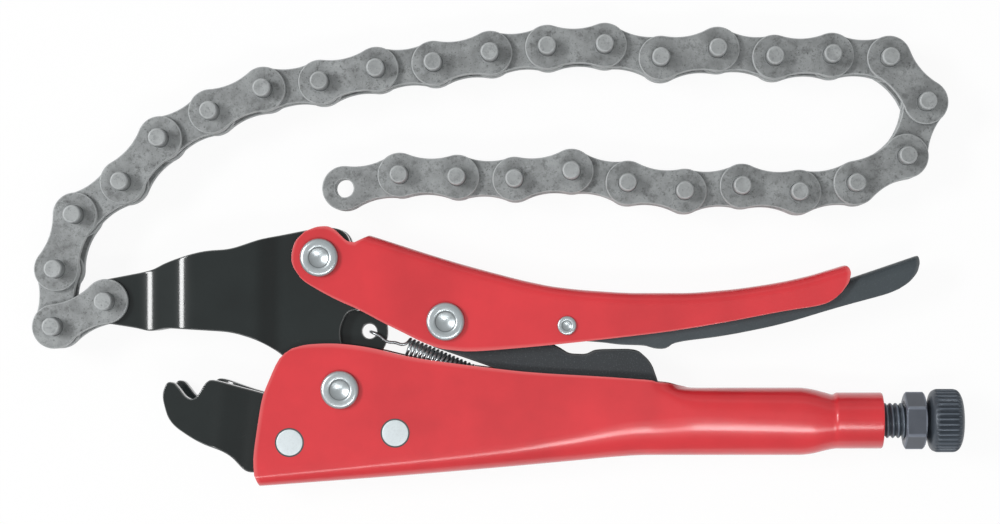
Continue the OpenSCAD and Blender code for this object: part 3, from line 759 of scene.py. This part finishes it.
class CHAINPLIERS_OT_lower_handle(PieceOperator, bpy.types.Operator):
    """Fold the lower handle and roll its tail into a tube"""
    bl_idname = "chain_pliers.lower_handle"
    bl_label = "Lower handle"

    fold_table = [(-30, -27.2), (-22.4, -26.7), (22, -23.5), (45, -21.6), (64, -19.9), (76, -18.8),
                  (84, -18.35), (92, -18.3), (150, -18.3)]
    # x, how many radii the fold's rounding reaches up the wall
    depth_table = [(-30, 1.0), (30, 1.0), (46, 1.06), (64, 1.28), (80, 1.55), (92, 1.55), (112, 1.4),
                   (127, 1.3), (136.4, 1.0), (150, 1.0)]
    # x, fold, free edge, half width, fold radius, lip radius, lip turn
    tail_table = [(86, -18.3, 2.6, 6.9, 6.2, 3.0, 0.04), (90, -18.3, 1.7, 7.15, 6.5, 3.6, 0.4),
                  (94, -18.3, 0.5, 7.5, 6.8, 4.7, 0.8), (98, -18.3, 0.35, 7.7, 7.0, 5.9, 1.0),
                  (110, -18.3, 0.4, 7.8, 7.2, 6.5, 1.0), (126.9, -18.3, 0.4, 7.8, 7.2, 6.7, 1.0),
                  (130.4, -17.95, 0.0, 7.8, 7.2, 7.0, 1.0), (134.1, -17.1, -0.9, 7.6, 7.3, 7.2, 1.0),
                  (136.4, -16.65, -1.45, 7.4, 7.2, 7.1, 1.0), (137.4, -16.55, -0.95, 7.8, 7.6, 7.5, 1.0),
                  (149.6, -16.55, -0.95, 7.8, 7.6, 7.5, 1.0), (149.9, -16.4, -1.1, 7.65, 7.45, 7.35, 1.0)]

    def ring(self, x):
        """The tail's section at x: the points of a wall and of a corner of the fold."""
        table = np.array(self.tail_table)
        fold, edge, half, radius, lip, turn = [smooth_value(table[:, (0, k)], x) for k in range(1, 7)]
        share = clamp(turn)
        turn = math.radians(90) * share
        height = edge - fold
        # Before the lip turns in, the wall goes straight up to its edge
        run = (1 - share) ** 2 * lip * math.tan(math.pi / 4 - turn / 2) + share * (half - lip - 0.2)
        path = [(height - lip + lip * math.sin(turn) + run * math.cos(turn),
                 half - lip + lip * math.cos(turn) - run * math.sin(turn))]
        path += [(height - lip + lip * math.sin(a), half - lip + lip * math.cos(a))
                 for a in np.linspace(turn, 0, 10)]
        depth = radius * smooth_value(self.depth_table, x)
        path.append((depth, half))
        wall = along(path, np.linspace(0, 1, WALL_STEPS))
        corner = [(depth - depth * math.sin(a), half - radius + radius * math.cos(a))
                  for a in np.radians(90 * np.arange(1, FOLD_STEPS + 1) / FOLD_STEPS)]
        return [[(x, fold + h, z) for h, z in line] for line in (wall, corner)]

    def execute(self, context):
        first, start = -23.6, 86.0
        front = [(first, -23.6), (-23.8, -18.5), (-22.7, -10.1), (-21.4, -2.4), (-19.7, 2.2), (-17.5, 7.2),
                 (-15.8, 9.6), (-13.2, 11.4)]
        top = [(-13.2, 11.4), (-9.4, 12.4), (-3.9, 12.75), (1.4, 12.55), (8.8, 11.5), (22.1, 8.6),
               (44.2, 5.7), (55.8, 4.6), (71.2, 3.7), (82.8, 2.9), (start, 2.6)]

        def radius(x):
            return np.interp(x, (first, 20, start), (3.2, 4.6, 6.2))

        def depth(x):
            return radius(x) * smooth_value(self.depth_table, x)

        sheet = FoldedSheet(self.fold_table, -1, WALL_OUT, radius, depth)
        edge = smooth_line(top, 260)
        left = smooth_line(list(reversed(front)), 60)
        right = [top[-1], (start, sheet.fold(start) + depth(start))]
        sheet.front([], first, start, edge, left, right, lean=(1.2, 0))
        sheet.points = [self.eased(p, (64, WALL_OUT), (start, 6.9)) for p in sheet.points]
        # The sections stand closer where the tail narrows to its collar and at its mouth
        spots = np.concatenate([np.arange(87, 135, 1.0), np.arange(135, 138, 0.4),
                                np.arange(139, 149.2, 2.0), np.linspace(149.6, 149.9, 3)])
        sheet.tail([self.ring(x) for x in spots])
        mesh = sheet.mesh(SHEET, self.sizes.sheet_rim)
        sleeve = lathe([(SCREW_BORE, 0), (7.0, 0), (7.0, 12.4), (6.6, 12.75), (SCREW_BORE + 0.5, 12.75),
                        (SCREW_BORE, 12.3)], closed=True)
        sleeve.transform(Matrix.Translation((137, SCREW_Y, 0)) @ Matrix.Rotation(math.pi / 2, 4, "Y"))
        set_rim(sleeve, lambda v: 0)
        whole = to_frame(joined("lower_handle_sheet", mesh, sleeve))
        piece(context, "lower_handle_sheet", whole, "red_gloss", "lower_handle", "red_paint", "lower_handle")
        return {"FINISHED"}

    @staticmethod
    def eased(point, low, high):
        """Widens the channel smoothly from one (x, half width) to the next."""
        x, y, z = point
        share = clamp((x - low[0]) / (high[0] - low[0]))
        share = share * share * (3 - 2 * share)
        return x, y, z * (1 + share * (high[1] / low[1] - 1))


class CHAINPLIERS_OT_upper_handle(PieceOperator, bpy.types.Operator):
    """Fold the upper handle, with its open nose at the jaw"""
    bl_idname = "chain_pliers.upper_handle"
    bl_label = "Upper handle"

    fold_table = [(0, 44.7), (8, 42.6), (15, 40.4), (24, 37.5), (34, 34.5), (44, 31.8), (52, 29.8),
                  (60, 28.3), (70, 27.3), (82, 26.7), (94, 26.7), (106, 27.5), (118, 29.1), (128, 31.1),
                  (136, 33.4), (142, 35.3)]

    def execute(self, context):
        nose = [(-10.9, 30.9), (-13, 34.2), (-13.3, 37.4), (-12.2, 41), (-9.6, 43.7)]
        crown = [(-9.6, 43.7), (-6.4, 44.9), (-3.4, 45.05), (-1.4, 44.1), (0.4, 42.4), (2, 41)]
        bottom = [(-10.9, 30.9), (-9.3, 29.5), (-5.8, 27.4), (-1.1, 24.9), (5.5, 21.9), (12.1, 18.4),
                  (17.9, 15.5), (22.6, 13.2), (27.3, 11.5), (31.2, 10.9), (36, 10.6), (44.2, 11.1),
                  (59.6, 12.5), (75.1, 14.2), (90.6, 16.1), (106, 18.6), (121.8, 21.6), (131.7, 23.2),
                  (135.6, 24.7), (138.3, 27)]
        end = [(138.3, 27), (140.1, 29.6), (140.7, 31.88)]
        sheet = FoldedSheet(self.fold_table, 1, WALL_OUT, lambda x: 3.0)
        sheet.front(crown, 4.0, end[-1][0], smooth_line(bottom, 300), smooth_line(nose, 60),
                    smooth_line(end, 30), lean=(3.9, -1.9), steps=110)
        mesh = to_frame(sheet.mesh(SHEET, self.sizes.sheet_rim))
        piece(context, "upper_handle_sheet", mesh, "red_gloss", "upper_handle", "red_paint", "upper_handle")
        return {"FINISHED"}


class CHAINPLIERS_OT_release_lever(PieceOperator, bpy.types.Operator):
    """Fold the release lever"""
    bl_idname = "chain_pliers.release_lever"
    bl_label = "Release lever"

    half, corner_r, thickness, rim = 4.5, 2.4, 1.5, 0.3
    fold_table = [(57, 21.7), (76, 21.7), (90, 21.9), (104, 22.8), (116, 24), (126, 26), (134, 28.4),
                  (142, 31.1), (150, 33.8), (162, 37.9)]

    def execute(self, context):
        bottom = soft([(59.2, 13.9), (71.8, 13.1, 0.3), (77, 12.4, 0.3), (84, 12.2, 0.3), (86.6, 11.3, 0.4),
                       (89.9, 11.2, 0.4), (92, 13.1, 0.4), (106, 14.8, 0.4), (121.8, 18, 0.4),
                       (137.2, 22.7, 0.4), (151, 26.4, 0.3), (154.2, 27.8)])
        front = [(59.2, 13.9), (58, 16.6), (57.9, 19.3)]
        end = [(154.2, 27.8), (157.1, 29.8), (159.2, 32.4), (159.9, 34.75)]
        sheet = FoldedSheet(self.fold_table, 1, self.half, lambda x: self.corner_r)
        sheet.front([], front[-1][0], end[-1][0], bottom, smooth_line(front, 30), smooth_line(end, 30),
                    lean=(0, -0.4))
        mesh = to_frame(sheet.mesh(self.thickness, self.rim))
        piece(context, "release_lever_sheet", mesh, "lever_coat", "release_lever", "lever_steel",
              "release_lever")
        return {"FINISHED"}


class CHAINPLIERS_OT_moving_jaw(PieceOperator, bpy.types.Operator):
    """Stamp and bend the two plates of the moving jaw"""
    bl_idname = "chain_pliers.moving_jaw"
    bl_label = "Moving jaw"

    def outline(self):
        hub, nose, bulge = 8.0, 8.2, 1.55
        tip = arc(JAW_TIP, self.sizes.plate_end, 270, 90, 19)
        back = [(-52.7, 32.9, 0.3), (-48, 35.1, 0.3), (-37.8, 38.2, 0.4), (-29.8, 38.7, 0.3),
                (-20.4, 41.9, 0.3)]
        # Behind the handle's nose the plate bulges past its round end
        crown = []
        for turn in np.linspace(100, 5, 20):
            crown += arc(HANDLE_PIVOT, nose + bulge * math.exp(-((turn - 44) / 28) ** 2), turn, turn, 1)
        rear = [(6.4, 27, 0.4), (7, 22.4, 0.3), (1.6, 21.6, 0.4), (-0.6, 16, 0.4)]
        heel = arc((0, 0), hub, 80, -190, 30)
        belly = [(-10.4, 3.6, 0.3), (-16, 9.5, 0.4), (-22.1, 13.6, 0.4), (-29.5, 15.9, 0.4),
                 (-37.8, 16.4, 0.4), (-47.8, 17, 0.3), (-52.8, 16, 0.4), (-57, 17, 0.3)]
        return soft(tip + back + crown + rear + heel + belly)

    def execute(self, context):
        level = bend_level([(-100, 0, 0), (-53, 0, 3.5), (-43, PRONG_IN, 3.5), (-22.4, PRONG_IN, 2),
                            (-17.4, JAW_IN, 1.6), (40, JAW_IN, 0)])
        cuts = [*np.arange(-57, -38, 0.7), *np.arange(-25, -15, 0.5)]
        loops = [self.outline(), ring((0, 0), PIVOT_BORE), ring(HANDLE_PIVOT, PIVOT_BORE),
                 ring(JAW_TIP, self.sizes.pin + PLAY)]
        for side in ("front", "rear"):
            mesh = bent(plate(loops, JAW_T, self.sizes.plate_rim), level, cuts)
            if side == "front":
                mesh = joined("jaw_with_tab", mesh, self.tab())
            else:
                mirror(mesh)
            piece(context, f"moving_jaw_plate_{side}", to_frame(mesh), "black_coat", "moving_jaw",
                  "black_plate", f"moving_jaw_{side}")
        return {"FINISHED"}

    def tab(self):
        """The ear that holds the spring, pressed down to the middle of the jaw."""
        thickness, hole = 2.8, 4.1
        # Corners from the spring's hole
        corners = [(-1, 5.9, 0.4), (4.4, 4.6, 0.4), (5.3, -0.6, 0.4), (4, -5.4, 0.4), (-2.4, -7.4, 0.4),
                   (-6.4, -6.2, 0.3), (-8.4, -3.4, 0.3), (-9.6, 0.6, 0.4), (-7.4, 5.6, 0.4)]
        outline = soft(corners, steps=8) + SPRING_HOLE
        return plate([outline, ring(SPRING_HOLE, hole)], thickness, self.sizes.plate_rim, -thickness / 2)


class CHAINPLIERS_OT_fixed_jaw(PieceOperator, bpy.types.Operator):
    """Stamp and bend the two plates of the fork"""
    bl_idname = "chain_pliers.fixed_jaw"
    bl_label = "Fixed jaw"

    def execute(self, context):
        hub, rivet_hole, lean = 8.6, 7.39, -6
        prong = [(-48.7, -1.6, 0.4), (-47.3, 2.3, 0.4)]
        notch = [(-45.2, 2.1, 0.4), (-43.7, 0.3, 0.4), (-42.1, -1.9, 0.45), (-40.2, -2.7, 0.45),
                 (-38.5, -1.2, 0.45), (-36.8, 1.9, 0.4)]
        throat = [(-35, 3.1, 0.4), (-27.1, 0.6, 0.3), (-20, -1.4, 0.3)]
        root = [(20.4, -5.6, 0.3), (21.6, -12, 0.4), (20, -19.8, 0.2), (-4, -21.4, 0.2), (-20, -22.7, 0.2),
                (-26.2, -23, 0.3), (-30.8, -17.4, 0.4), (-39, -14.2, 0.4), (-46.6, -9, 0.4)]
        outline = soft(prong + notch + throat + arc((0, 0), hub, 196, 344, 26) + root)
        loops = [outline, *[ring(at, rivet_hole) for at in FLAT_RIVETS]]
        level = bend_level([(-100, PRONG_IN, 0), (-33.1, PRONG_IN, 3), (-24, JAW_IN, 2), (60, JAW_IN, 0)])
        for side in ("front", "rear"):
            mesh = bent(plate(loops, JAW_T, self.sizes.plate_rim), level, np.arange(-37, -20, 0.6), lean)
            if side == "rear":
                mirror(mesh)
            piece(context, f"fork_plate_{side}", to_frame(mesh), "black_coat", "lower_handle", "black_plate",
                  f"fixed_jaw_{side}")
        return {"FINISHED"}


class CHAINPLIERS_OT_toggle_link(PieceOperator, bpy.types.Operator):
    """Forge the toggle link"""
    bl_idname = "chain_pliers.toggle_link"
    bl_label = "Toggle link"

    def execute(self, context):
        hub, end, thickness, rim = 7.9, 5, 6.4, 0.6
        belly = [(41, 6.4, 0.3), (60, -0.7, 0.3)]
        back = [(89.2, -2.6, 0.4), (87.6, 2.4, 0.3), (85.8, 7.6, 0.4), (81.8, 11.2, 0.3), (70.4, 11.1, 0.3),
                (67.6, 9.7, 0.3), (63, 9.9, 0.3), (60, 11.8, 0.3), (45, 19, 0.3)]
        far = arc((92, -8.75), end, 248, 388, 22)
        outline = soft(arc(TOGGLE_PIVOT, hub, 60, 246, 30) + belly + far + back)
        mesh = plate([outline, ring(TOGGLE_PIVOT, PIVOT_BORE)], thickness, rim, -thickness / 2)
        piece(context, "toggle_link_forging", to_frame(mesh), "forged_steel", "toggle_link", "link_steel",
              "toggle_link")
        return {"FINISHED"}


class CHAINPLIERS_OT_rivets(PieceOperator, bpy.types.Operator):
    """Head the rivets, and give the hidden pins and spacers their steel"""
    bl_idname = "chain_pliers.rivets"
    bl_label = "Rivets"

    def headed(self, shank, head, height):
        """A pressed head with a narrow rolled edge and a coned dimple inside a flat ring."""
        r = head / 2
        # Shares of the head's radius and of its height below the top
        shape = [(0.97, 0.98), (1, 0.86), (1, 0.5), (0.985, 0.32), (0.945, 0.15), (0.885, 0.045),
                 (0.82, 0.01), (0.74, 0), (0.64, 0.015), (0.585, 0.05), (0.555, 0.12), (0.525, 0.26),
                 (0.5, 0.3), (0.2, 0.6), (0.1, 0.67), (0, 0.68)]
        half = [(shank / 2, WALL_OUT)] + [(a * r, WALL_OUT + height - b * height) for a, b in shape]
        mesh = alike(half, 96)
        # Radius and width of the dark lines of painted shade, in the step round the dimple and round the head's
        # edge
        lines = [(0.52 * r, 0.04 * r), (r, 0.01 * r)]
        set_rim(mesh, lambda v: max(0, *(1 - abs(v.co.xy.length - at) / width for at, width in lines)))
        return mesh

    def execute(self, context):
        for node, at, body, size in (("jaw_pivot_rivet", (0, 0, 0), "lower_handle", PIVOT_RIVET),
                                     ("handle_pivot_rivet", HANDLE_PIVOT, "upper_handle", PIVOT_RIVET),
                                     ("toggle_rivet", TOGGLE_PIVOT, "upper_handle", PIVOT_RIVET),
                                     ("lever_rivet", LEVER_PIVOT, "upper_handle", LEVER_RIVET)):
            mesh = to_frame(self.headed(*size), (at[0], at[1], 0))
            piece(context, node + "_head", mesh, "rivet_zinc", body, "rivet_steel", node)
        flush = []
        half = [(3.68, 0), (3.68, 6.4), (4.02, 6.49), (4.0, 6.54), (3.66, 6.53), (3.62, 6.53), (3.56, 6.58),
                (3.42, 6.6), (1.7, 6.61), (0, 6.62)]
        for x, y in FLAT_RIVETS:
            disc = alike(half, 72)
            # The ring beyond 3.6 mm, in the staking groove, is dark: painted shade
            set_rim(disc, lambda v: v.co.xy.length > 3.6)
            disc.transform(Matrix.Translation((x, y, 0)))
            flush.append(disc)
        piece(context, "flush_rivets", to_frame(joined("flush_rivets", *flush)), "flat_rivet", "lower_handle",
              "flat_rivet_steel", "fixed_jaw_rivets")
        for node in ("jaw_pivot_spacer", "handle_pivot_spacer", "fixed_jaw_spacers", "spring_anchor_pin"):
            obj = frame["nodes"][node]
            obj.data.materials.clear()
            obj.data.materials.append(finish(context, "turned_steel"))
        return {"FINISHED"}


class CHAINPLIERS_OT_return_spring(PieceOperator, bpy.types.Operator):
    """Wind the return spring and its two hooks"""
    bl_idname = "chain_pliers.return_spring"
    bl_label = "Return spring"

    def path(self, r):
        """The wire's line: u along the coil, v across it, w across the tool. The coil's radius is r."""
        coils, pitch, barb = 25, 1.18, 1.4
        hook, start, lean, turn = 2.6, 11.2, 2.5, 60
        sweep = 360 * (coils + 1) - 90 - 2 * turn
        end = start + pitch * sweep / 360
        anchor = end + lean + r + 2

        def round_axis(u, a):
            return [u, r * math.cos(math.radians(a)), r * math.sin(math.radians(a))]

        points = [[hook + barb, 0, -r]]
        points += [[u, 0, w] for u, w in arc((hook, 0), r, -90, -270, 17)]
        # The leg between hook and coil bows to one side
        points += [[hook + 6.0 * t, 0.7 * math.sin(math.pi * t) ** 2, r] for t in np.linspace(0.1, 0.9, 9)]
        points += [round_axis(start - lean + lean * (1 - (1 - t) ** 2), 90 + turn * t * t)
                   for t in np.linspace(0, 1, 9)[:-1]]
        points += [round_axis(start + (end - start) * t, 90 + turn + sweep * t)
                   for t in np.linspace(0, 1, int(sweep / 15))]
        points += [round_axis(end + lean - lean * (1 - (1 - t) ** 2), -turn * t * t)
                   for t in np.linspace(1, 0, 9)[1:]]
        points += [[u, v, 0] for u, v in arc((anchor, 0), r, 90, -90, 17)]
        points.append([anchor - barb, -r, 0])
        return np.array(points) * (1, -1, 1), anchor

    def execute(self, context):
        coil, wire, sides, degrees = 2.8, 0.42, 10, -22.8
        line, anchor = self.path(coil - wire)
        run = np.gradient(line, axis=0)
        run /= np.linalg.norm(run, axis=1)[:, None]
        side = np.array([0.0, 1.0, 0.0])
        points = []
        for spot, ahead in zip(line, run):
            side = unit(side - side.dot(ahead) * ahead)
            up = np.cross(ahead, side)
            points += [spot + wire * (math.cos(a) * side + math.sin(a) * up) for a in turns(sides)]
        mesh = new_mesh("spring", points, tube_faces(len(line), sides))
        with edited(mesh) as bm:
            bmesh.ops.recalc_face_normals(bm, faces=bm.faces)
        slope = Matrix.Rotation(math.radians(degrees), 4, "Z")
        to_frame(mesh, (*SPRING_HOLE, 0), slope)
        obj = piece(context, "return_spring_wire", mesh, "spring_wire", None, "spring_steel", "return_spring")
        ends = [JAW_PIVOT + MM * (Vector((*SPRING_HOLE, 0)) + slope.to_3x3() @ Vector((u, 0, 0)))
                for u in (anchor - 3, 1.0)]
        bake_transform(obj)
        return {"FINISHED"}


class CHAINPLIERS_OT_adjusting_screw(PieceOperator, bpy.types.Operator):
    """Cut the adjusting screw's thread, knurl its knob and make the lock nut"""
    bl_idname = "chain_pliers.adjusting_screw"
    bl_label = "Adjusting screw"

    def shank(self):
        tip, thread, end = 98.6, 128.0, 162.4
        blunt, root, depth = 3.2, 4.2, 0.7
        pitch = self.sizes.thread
        rows = [tip, tip + 1.2, *np.arange(thread, end - 1.2, pitch / 10), end - 1.1, end]
        last = len(rows) - 1

        def radius(i, angle):
            if i == 0:
                return blunt
            if i == 1 or i >= last - 1:
                return root
            tooth = (rows[i] / pitch - angle / (2 * math.pi)) % 1.0
            return root + depth * min(1.0, 2.5 * min(tooth, 1 - tooth))

        mesh = round_grid(rows, 56, radius)
        # The thread's crests turn lighter from this radius out: wear, and a painted highlight
        sheen_and_wear, crest = 4.6, root + depth
        set_rim(mesh, lambda v: clamp((v.co.yz.length - sheen_and_wear) / (crest - sheen_and_wear)))
        mesh.transform(Matrix.Translation((0, SCREW_Y, 0)))
        return mesh

    def knob(self):
        start, depth = 162.3, 0.8
        # x from the start, radius
        profile = [(0, 4.6), (0.35, 5.2), (0.75, 6.6), (1.1, 7.7), (1.7, 8.35), (2.5, 8.72), (3.2, 8.8),
                   (4.4, 8.8), (5.6, 8.8), (6.6, 8.8), (7.5, 8.78), (8.2, 8.6), (8.85, 8.15), (9.4, 7.3),
                   (9.8, 6.2), (10.05, 4.6), (10.18, 2.6), (10.19, 1.0)]
        fine = smooth_line(profile, 44)
        grooves = self.sizes.grooves

        def radius(i, angle):
            x, r = fine[i]
            # The grooves run out between x = 2.0 and 3.1, and between 8.0 and 8.9
            band = clamp((x - 2.0) / 1.1) * clamp((8.9 - x) / 0.9)
            wave = 0.5 - 0.5 * math.cos(grooves * angle)
            return r - depth * band * (1 - wave) ** 1.4

        mesh = round_grid([start + x for x, _ in fine], grooves * 8, radius)
        # The ridges' crests are lighter: wear, and a painted highlight
        set_rim(mesh, lambda v: 0.5 if v.co.yz.length > 8.7 else 0)
        mesh.transform(Matrix.Translation((0, SCREW_Y, 0)))
        return mesh

    def nut(self):
        start, width, flats, bevel, sink = 156.1, 5.7, 13.8, 0.95, 0.6
        corner = flats / 2 / math.cos(math.pi / 6)
        steps = [0, 0.12, 0.3, 0.55, 0.9]
        rows = steps + [width / 2] + [width - x for x in reversed(steps)]
        # x and the largest radius there, over the outside and back through the hole
        rings = [(x, corner - bevel + bevel * min(1.0, min(x, width - x) / 0.55) ** 0.6) for x in rows]
        rings += [(width, SCREW_BORE + sink), (width - sink, SCREW_BORE), (sink, SCREW_BORE),
                  (0, SCREW_BORE + sink)]

        def radius(i, angle):
            side = (angle + math.pi / 2 + math.pi / 6) % (math.pi / 3) - math.pi / 6
            return min(flats / 2 / math.cos(side), rings[i][1])

        mesh = round_grid([x for x, _ in rings], 144, radius, closed=True)
        # Chamfers and corners are lighter: wear, and a painted highlight on the chamfers
        set_rim(mesh, lambda v: 0.9 if min(v.co.x, width - v.co.x) < 0.4 or v.co.yz.length > 7.7 else 0)
        mesh.transform(Matrix.Translation((start, SCREW_Y, 0)))
        return mesh

    def execute(self, context):
        screw = to_frame(joined("adjusting_screw_turned", self.shank(), self.knob()))
        piece(context, "adjusting_screw_turned", screw, "black_oxide", "adjusting_screw", "screw_black",
              "adjusting_screw")
        piece(context, "lock_nut_hexagon", to_frame(self.nut()), "worn_oxide", "lock_nut", "screw_black",
              "lock_nut")
        return {"FINISHED"}


class CHAINPLIERS_OT_chain(PieceOperator, bpy.types.Operator):
    """Assemble the chain, link by link"""
    bl_idname = "chain_pliers.chain"
    bl_label = "Chain"

    def outline(self):
        """Round ends joined by hollow sides."""
        s = self.sizes
        half, end, waist = s.pitch / 2, s.plate_end, s.plate_waist / 2
        hollow = (half * half + waist * waist - end * end) / (2 * (end - waist))
        lift = waist + hollow
        lean = math.degrees(math.atan2(lift, half))
        return (arc((0, 0), end, lean, 360 - lean, 40)
                + arc((half, -lift), hollow, 180 - lean, lean, 14)[1:-1]
                + arc((s.pitch, 0), end, lean - 180, 180 - lean, 40)
                + arc((half, lift), hollow, -lean, lean - 180, 14)[1:-1])

    def pin(self):
        r = self.sizes.pin / 2
        half = [(r, 0), (r, PIN_END - 0.6), (r - 0.05, PIN_END - 0.4), (r - 0.28, PIN_END - 0.1),
                (r - 0.42, PIN_END), (r - 0.6, PIN_END), (0.8, PIN_END - 0.05), (0, PIN_END - 0.06)]
        mesh = alike(half, 48)
        # The chamfer ring gets the full rim, a painted highlight; the rest of the pin gets a lighter tone of its
        # own
        set_rim(mesh, lambda v: 1 if abs(v.co.z) > PIN_END - 0.45 and v.co.xy.length > r - 0.5 else 0.35)
        return mesh

    def bush(self):
        bore, r, h = (self.sizes.pin + PLAY) / 2, 3.6, 1.45
        mesh = lathe([(bore, -h + 0.25), (bore + 0.25, -h), (r - 0.2, -h), (r, -h + 0.2), (r, h - 0.2),
                      (r - 0.2, h), (bore + 0.25, h), (bore, h - 0.25)], 48, closed=True)
        set_rim(mesh, lambda v: 0.4)
        return mesh

    def link(self, name, low, hole, post):
        thickness = 1.6
        loops = [self.outline(), ring((0, 0), hole), ring((self.sizes.pitch, 0), hole)]
        plates = [plate(loops, thickness, self.sizes.plate_rim, z) for z in (low, -low - thickness)]
        posts = [post(), post()]
        posts[1].transform(Matrix.Translation((self.sizes.pitch, 0, 0)))
        mesh = joined(name, *plates, *posts)
        mesh.transform(Matrix.Diagonal((MM, MM, MM, 1)))
        return mesh

    def execute(self, context):
        outer_in, inner_in, press = 3.1, 1.4, 0.04
        outer = self.link("outer_link", outer_in, self.sizes.pin + press, self.pin)
        inner = self.link("inner_link", inner_in, self.sizes.pin + PLAY, self.bush)
        hinges = [Vector(JOINTS[f"chain_hinge_{i + 1:02d}"]["pos_m"]) for i in range(CHAIN_LINKS)]
        eye = next(m for m in frame["record"]["mounts"] if m["name"] == "chain_end_eye")
        hinges.append(Vector(eye["pos_m"]))
        for i in range(CHAIN_LINKS):
            kind, shape = (("outer", outer), ("inner", inner))[i % 2]
            name = f"{kind}_link_{i // 2 + 1:02d}"
            ahead = hinges[i + 1] - hinges[i]
            mesh = shape.copy()
            mesh.transform(Matrix.Rotation(math.atan2(ahead.y, ahead.x), 4, "Z"))
            piece(context, name, mesh, "rolled_steel", f"chain_link_{i + 1:02d}", "chain_steel",
                  "chain_" + name, at=hinges[i])
        for shape in (outer, inner):
            bpy.data.meshes.remove(shape)
        return {"FINISHED"}


class CHAINPLIERS_OT_stage(bpy.types.Operator):
    """Lay the pale bench, hang the lights and set the camera"""
    bl_idname = "chain_pliers.stage"
    bl_label = "Stage"

    def softbox(self, context, name, at, size, power, target):
        light = bpy.data.lights.new(name, "AREA")
        light.shape = "RECTANGLE"
        light.size, light.size_y = size
        light.energy = power
        lamp = bpy.data.objects.new(name, light)
        context.scene.collection.objects.link(lamp)
        lamp.location = at
        lamp.rotation_euler = (target - Vector(at)).to_track_quat("-Z", "Y").to_euler()
        return lamp

    def execute(self, context):
        scene = context.scene
        stage = scene.chain_pliers.stage
        scene.view_settings.view_transform = "Standard"
        # The frame's middle in the photograph, in mm from the jaw pivot
        aim = JAW_PIVOT + MM * Vector((44.18, 35.15, 0))
        f = Finish("pale_bench")
        # The bench shows nearly white, and its matt part takes the soft shadows
        rays = [f.node("ShaderNodeLightPath", out=f"Is {ray} Ray")
                for ray in ("Camera", "Glossy", "Transmission")]
        white = f.node("ShaderNodeEmission", None, {"Color": (1, 1, 1, 1), "Strength": 1.0})
        matt = f.node("ShaderNodeBsdfDiffuse", None, {"Color": (0.9, 0.9, 0.9, 1)})
        glow = 0.93
        f.node_to_output(f.node("ShaderNodeMixShader", None, {0: f.largest(*rays) * glow, 1: matt, 2: white}))
        reach = 3.0
        corners = [(-reach, -reach, 0), (reach, -reach, 0), (reach, reach, 0), (-reach, reach, 0)]
        bench = bpy.data.objects.new("bench", new_mesh("bench", corners, [(0, 1, 2, 3)]))
        bench.data.materials.append(f.material)
        scene.collection.objects.link(bench)
        world = bpy.data.worlds.new("even_sky")
        scene.world = world
        world.use_nodes = True
        sky = world.node_tree.nodes["Background"].inputs
        sky["Color"].default_value = (1, 1, 1, 1)
        sky["Strength"].default_value = stage.sky
        # Name, place from the aim, width and height, power
        for name, away, size, power in (("left_strip", (-1.0, 0.22, 1.0), (0.6, 0.27), stage.strip),
                                        ("front_strip", (0, -0.35, 0.65), (0.7, 0.1), stage.key),
                                        ("back_softbox", (0, 0.55, 0.45), (1.0, 0.2), 0.15 * stage.key),
                                        ("front_window", (0.1, -0.32, 0.67), (0.12, 0.13), 0.4 * stage.key),
                                        ("top_softbox", (0.27, 0, 1.2), (0.4, 0.4), 0.45 * stage.key)):
            lamp = self.softbox(context, name, aim + Vector(away), size, power, aim)
            # The top one's glare would draw pale lines on the black plates' bends
            lamp.visible_glossy = name != "top_softbox"
        camera = bpy.data.cameras.new("overhead")
        camera.sensor_width = 36
        camera.lens = camera.sensor_width * stage.distance / stage.span
        camera.clip_start = 0.01
        overhead = bpy.data.objects.new("overhead", camera)
        scene.collection.objects.link(overhead)
        # The photograph was taken from right of its middle and a little below it, in shares of its width
        right, below = 0.1, 0.05
        aside = (right * stage.span, -below * stage.span, JAW_PIVOT.z + PIN_END * MM + stage.distance)
        overhead.location = Vector((aim.x, aim.y, 0)) + Vector(aside)
        camera.shift_x, camera.shift_y = -right, below
        scene.camera = overhead
        return {"FINISHED"}


PIECES = (CHAINPLIERS_OT_stage, CHAINPLIERS_OT_lower_handle, CHAINPLIERS_OT_upper_handle,
          CHAINPLIERS_OT_release_lever, CHAINPLIERS_OT_moving_jaw, CHAINPLIERS_OT_fixed_jaw,
          CHAINPLIERS_OT_toggle_link, CHAINPLIERS_OT_rivets, CHAINPLIERS_OT_return_spring,
          CHAINPLIERS_OT_adjusting_screw, CHAINPLIERS_OT_chain)


class CHAINPLIERS_PT_panel(bpy.types.Panel):
    """Lists the pieces of the pliers"""
    bl_idname = "CHAINPLIERS_PT_panel"
    bl_label = "Chain pliers"
    bl_space_type = "VIEW_3D"
    bl_region_type = "UI"
    bl_category = "Chain pliers"

    def draw(self, context):
        for kind in PIECES:
            self.layout.operator(kind.bl_idname)
        settings = context.scene.chain_pliers
        for group in (settings.colours, settings.sizes, settings.stage):
            for name in group.bl_rna.properties.keys():
                if name not in ("rna_type", "name"):
                    self.layout.prop(group, name)


CLASSES = (PliersColours, PliersSizes, PliersStage, PliersSettings, *PIECES, CHAINPLIERS_PT_panel)


def register():
    for kind in CLASSES:
        bpy.utils.register_class(kind)
    bpy.types.Scene.chain_pliers = bpy.props.PointerProperty(type=PliersSettings)


def unregister():
    del bpy.types.Scene.chain_pliers
    for kind in reversed(CLASSES):
        bpy.utils.unregister_class(kind)


def main():
    register()
    for kind in PIECES:
        group, name = kind.bl_idname.split(".")
        getattr(getattr(bpy.ops, group), name)()


if __name__ == "__main__":
    main()
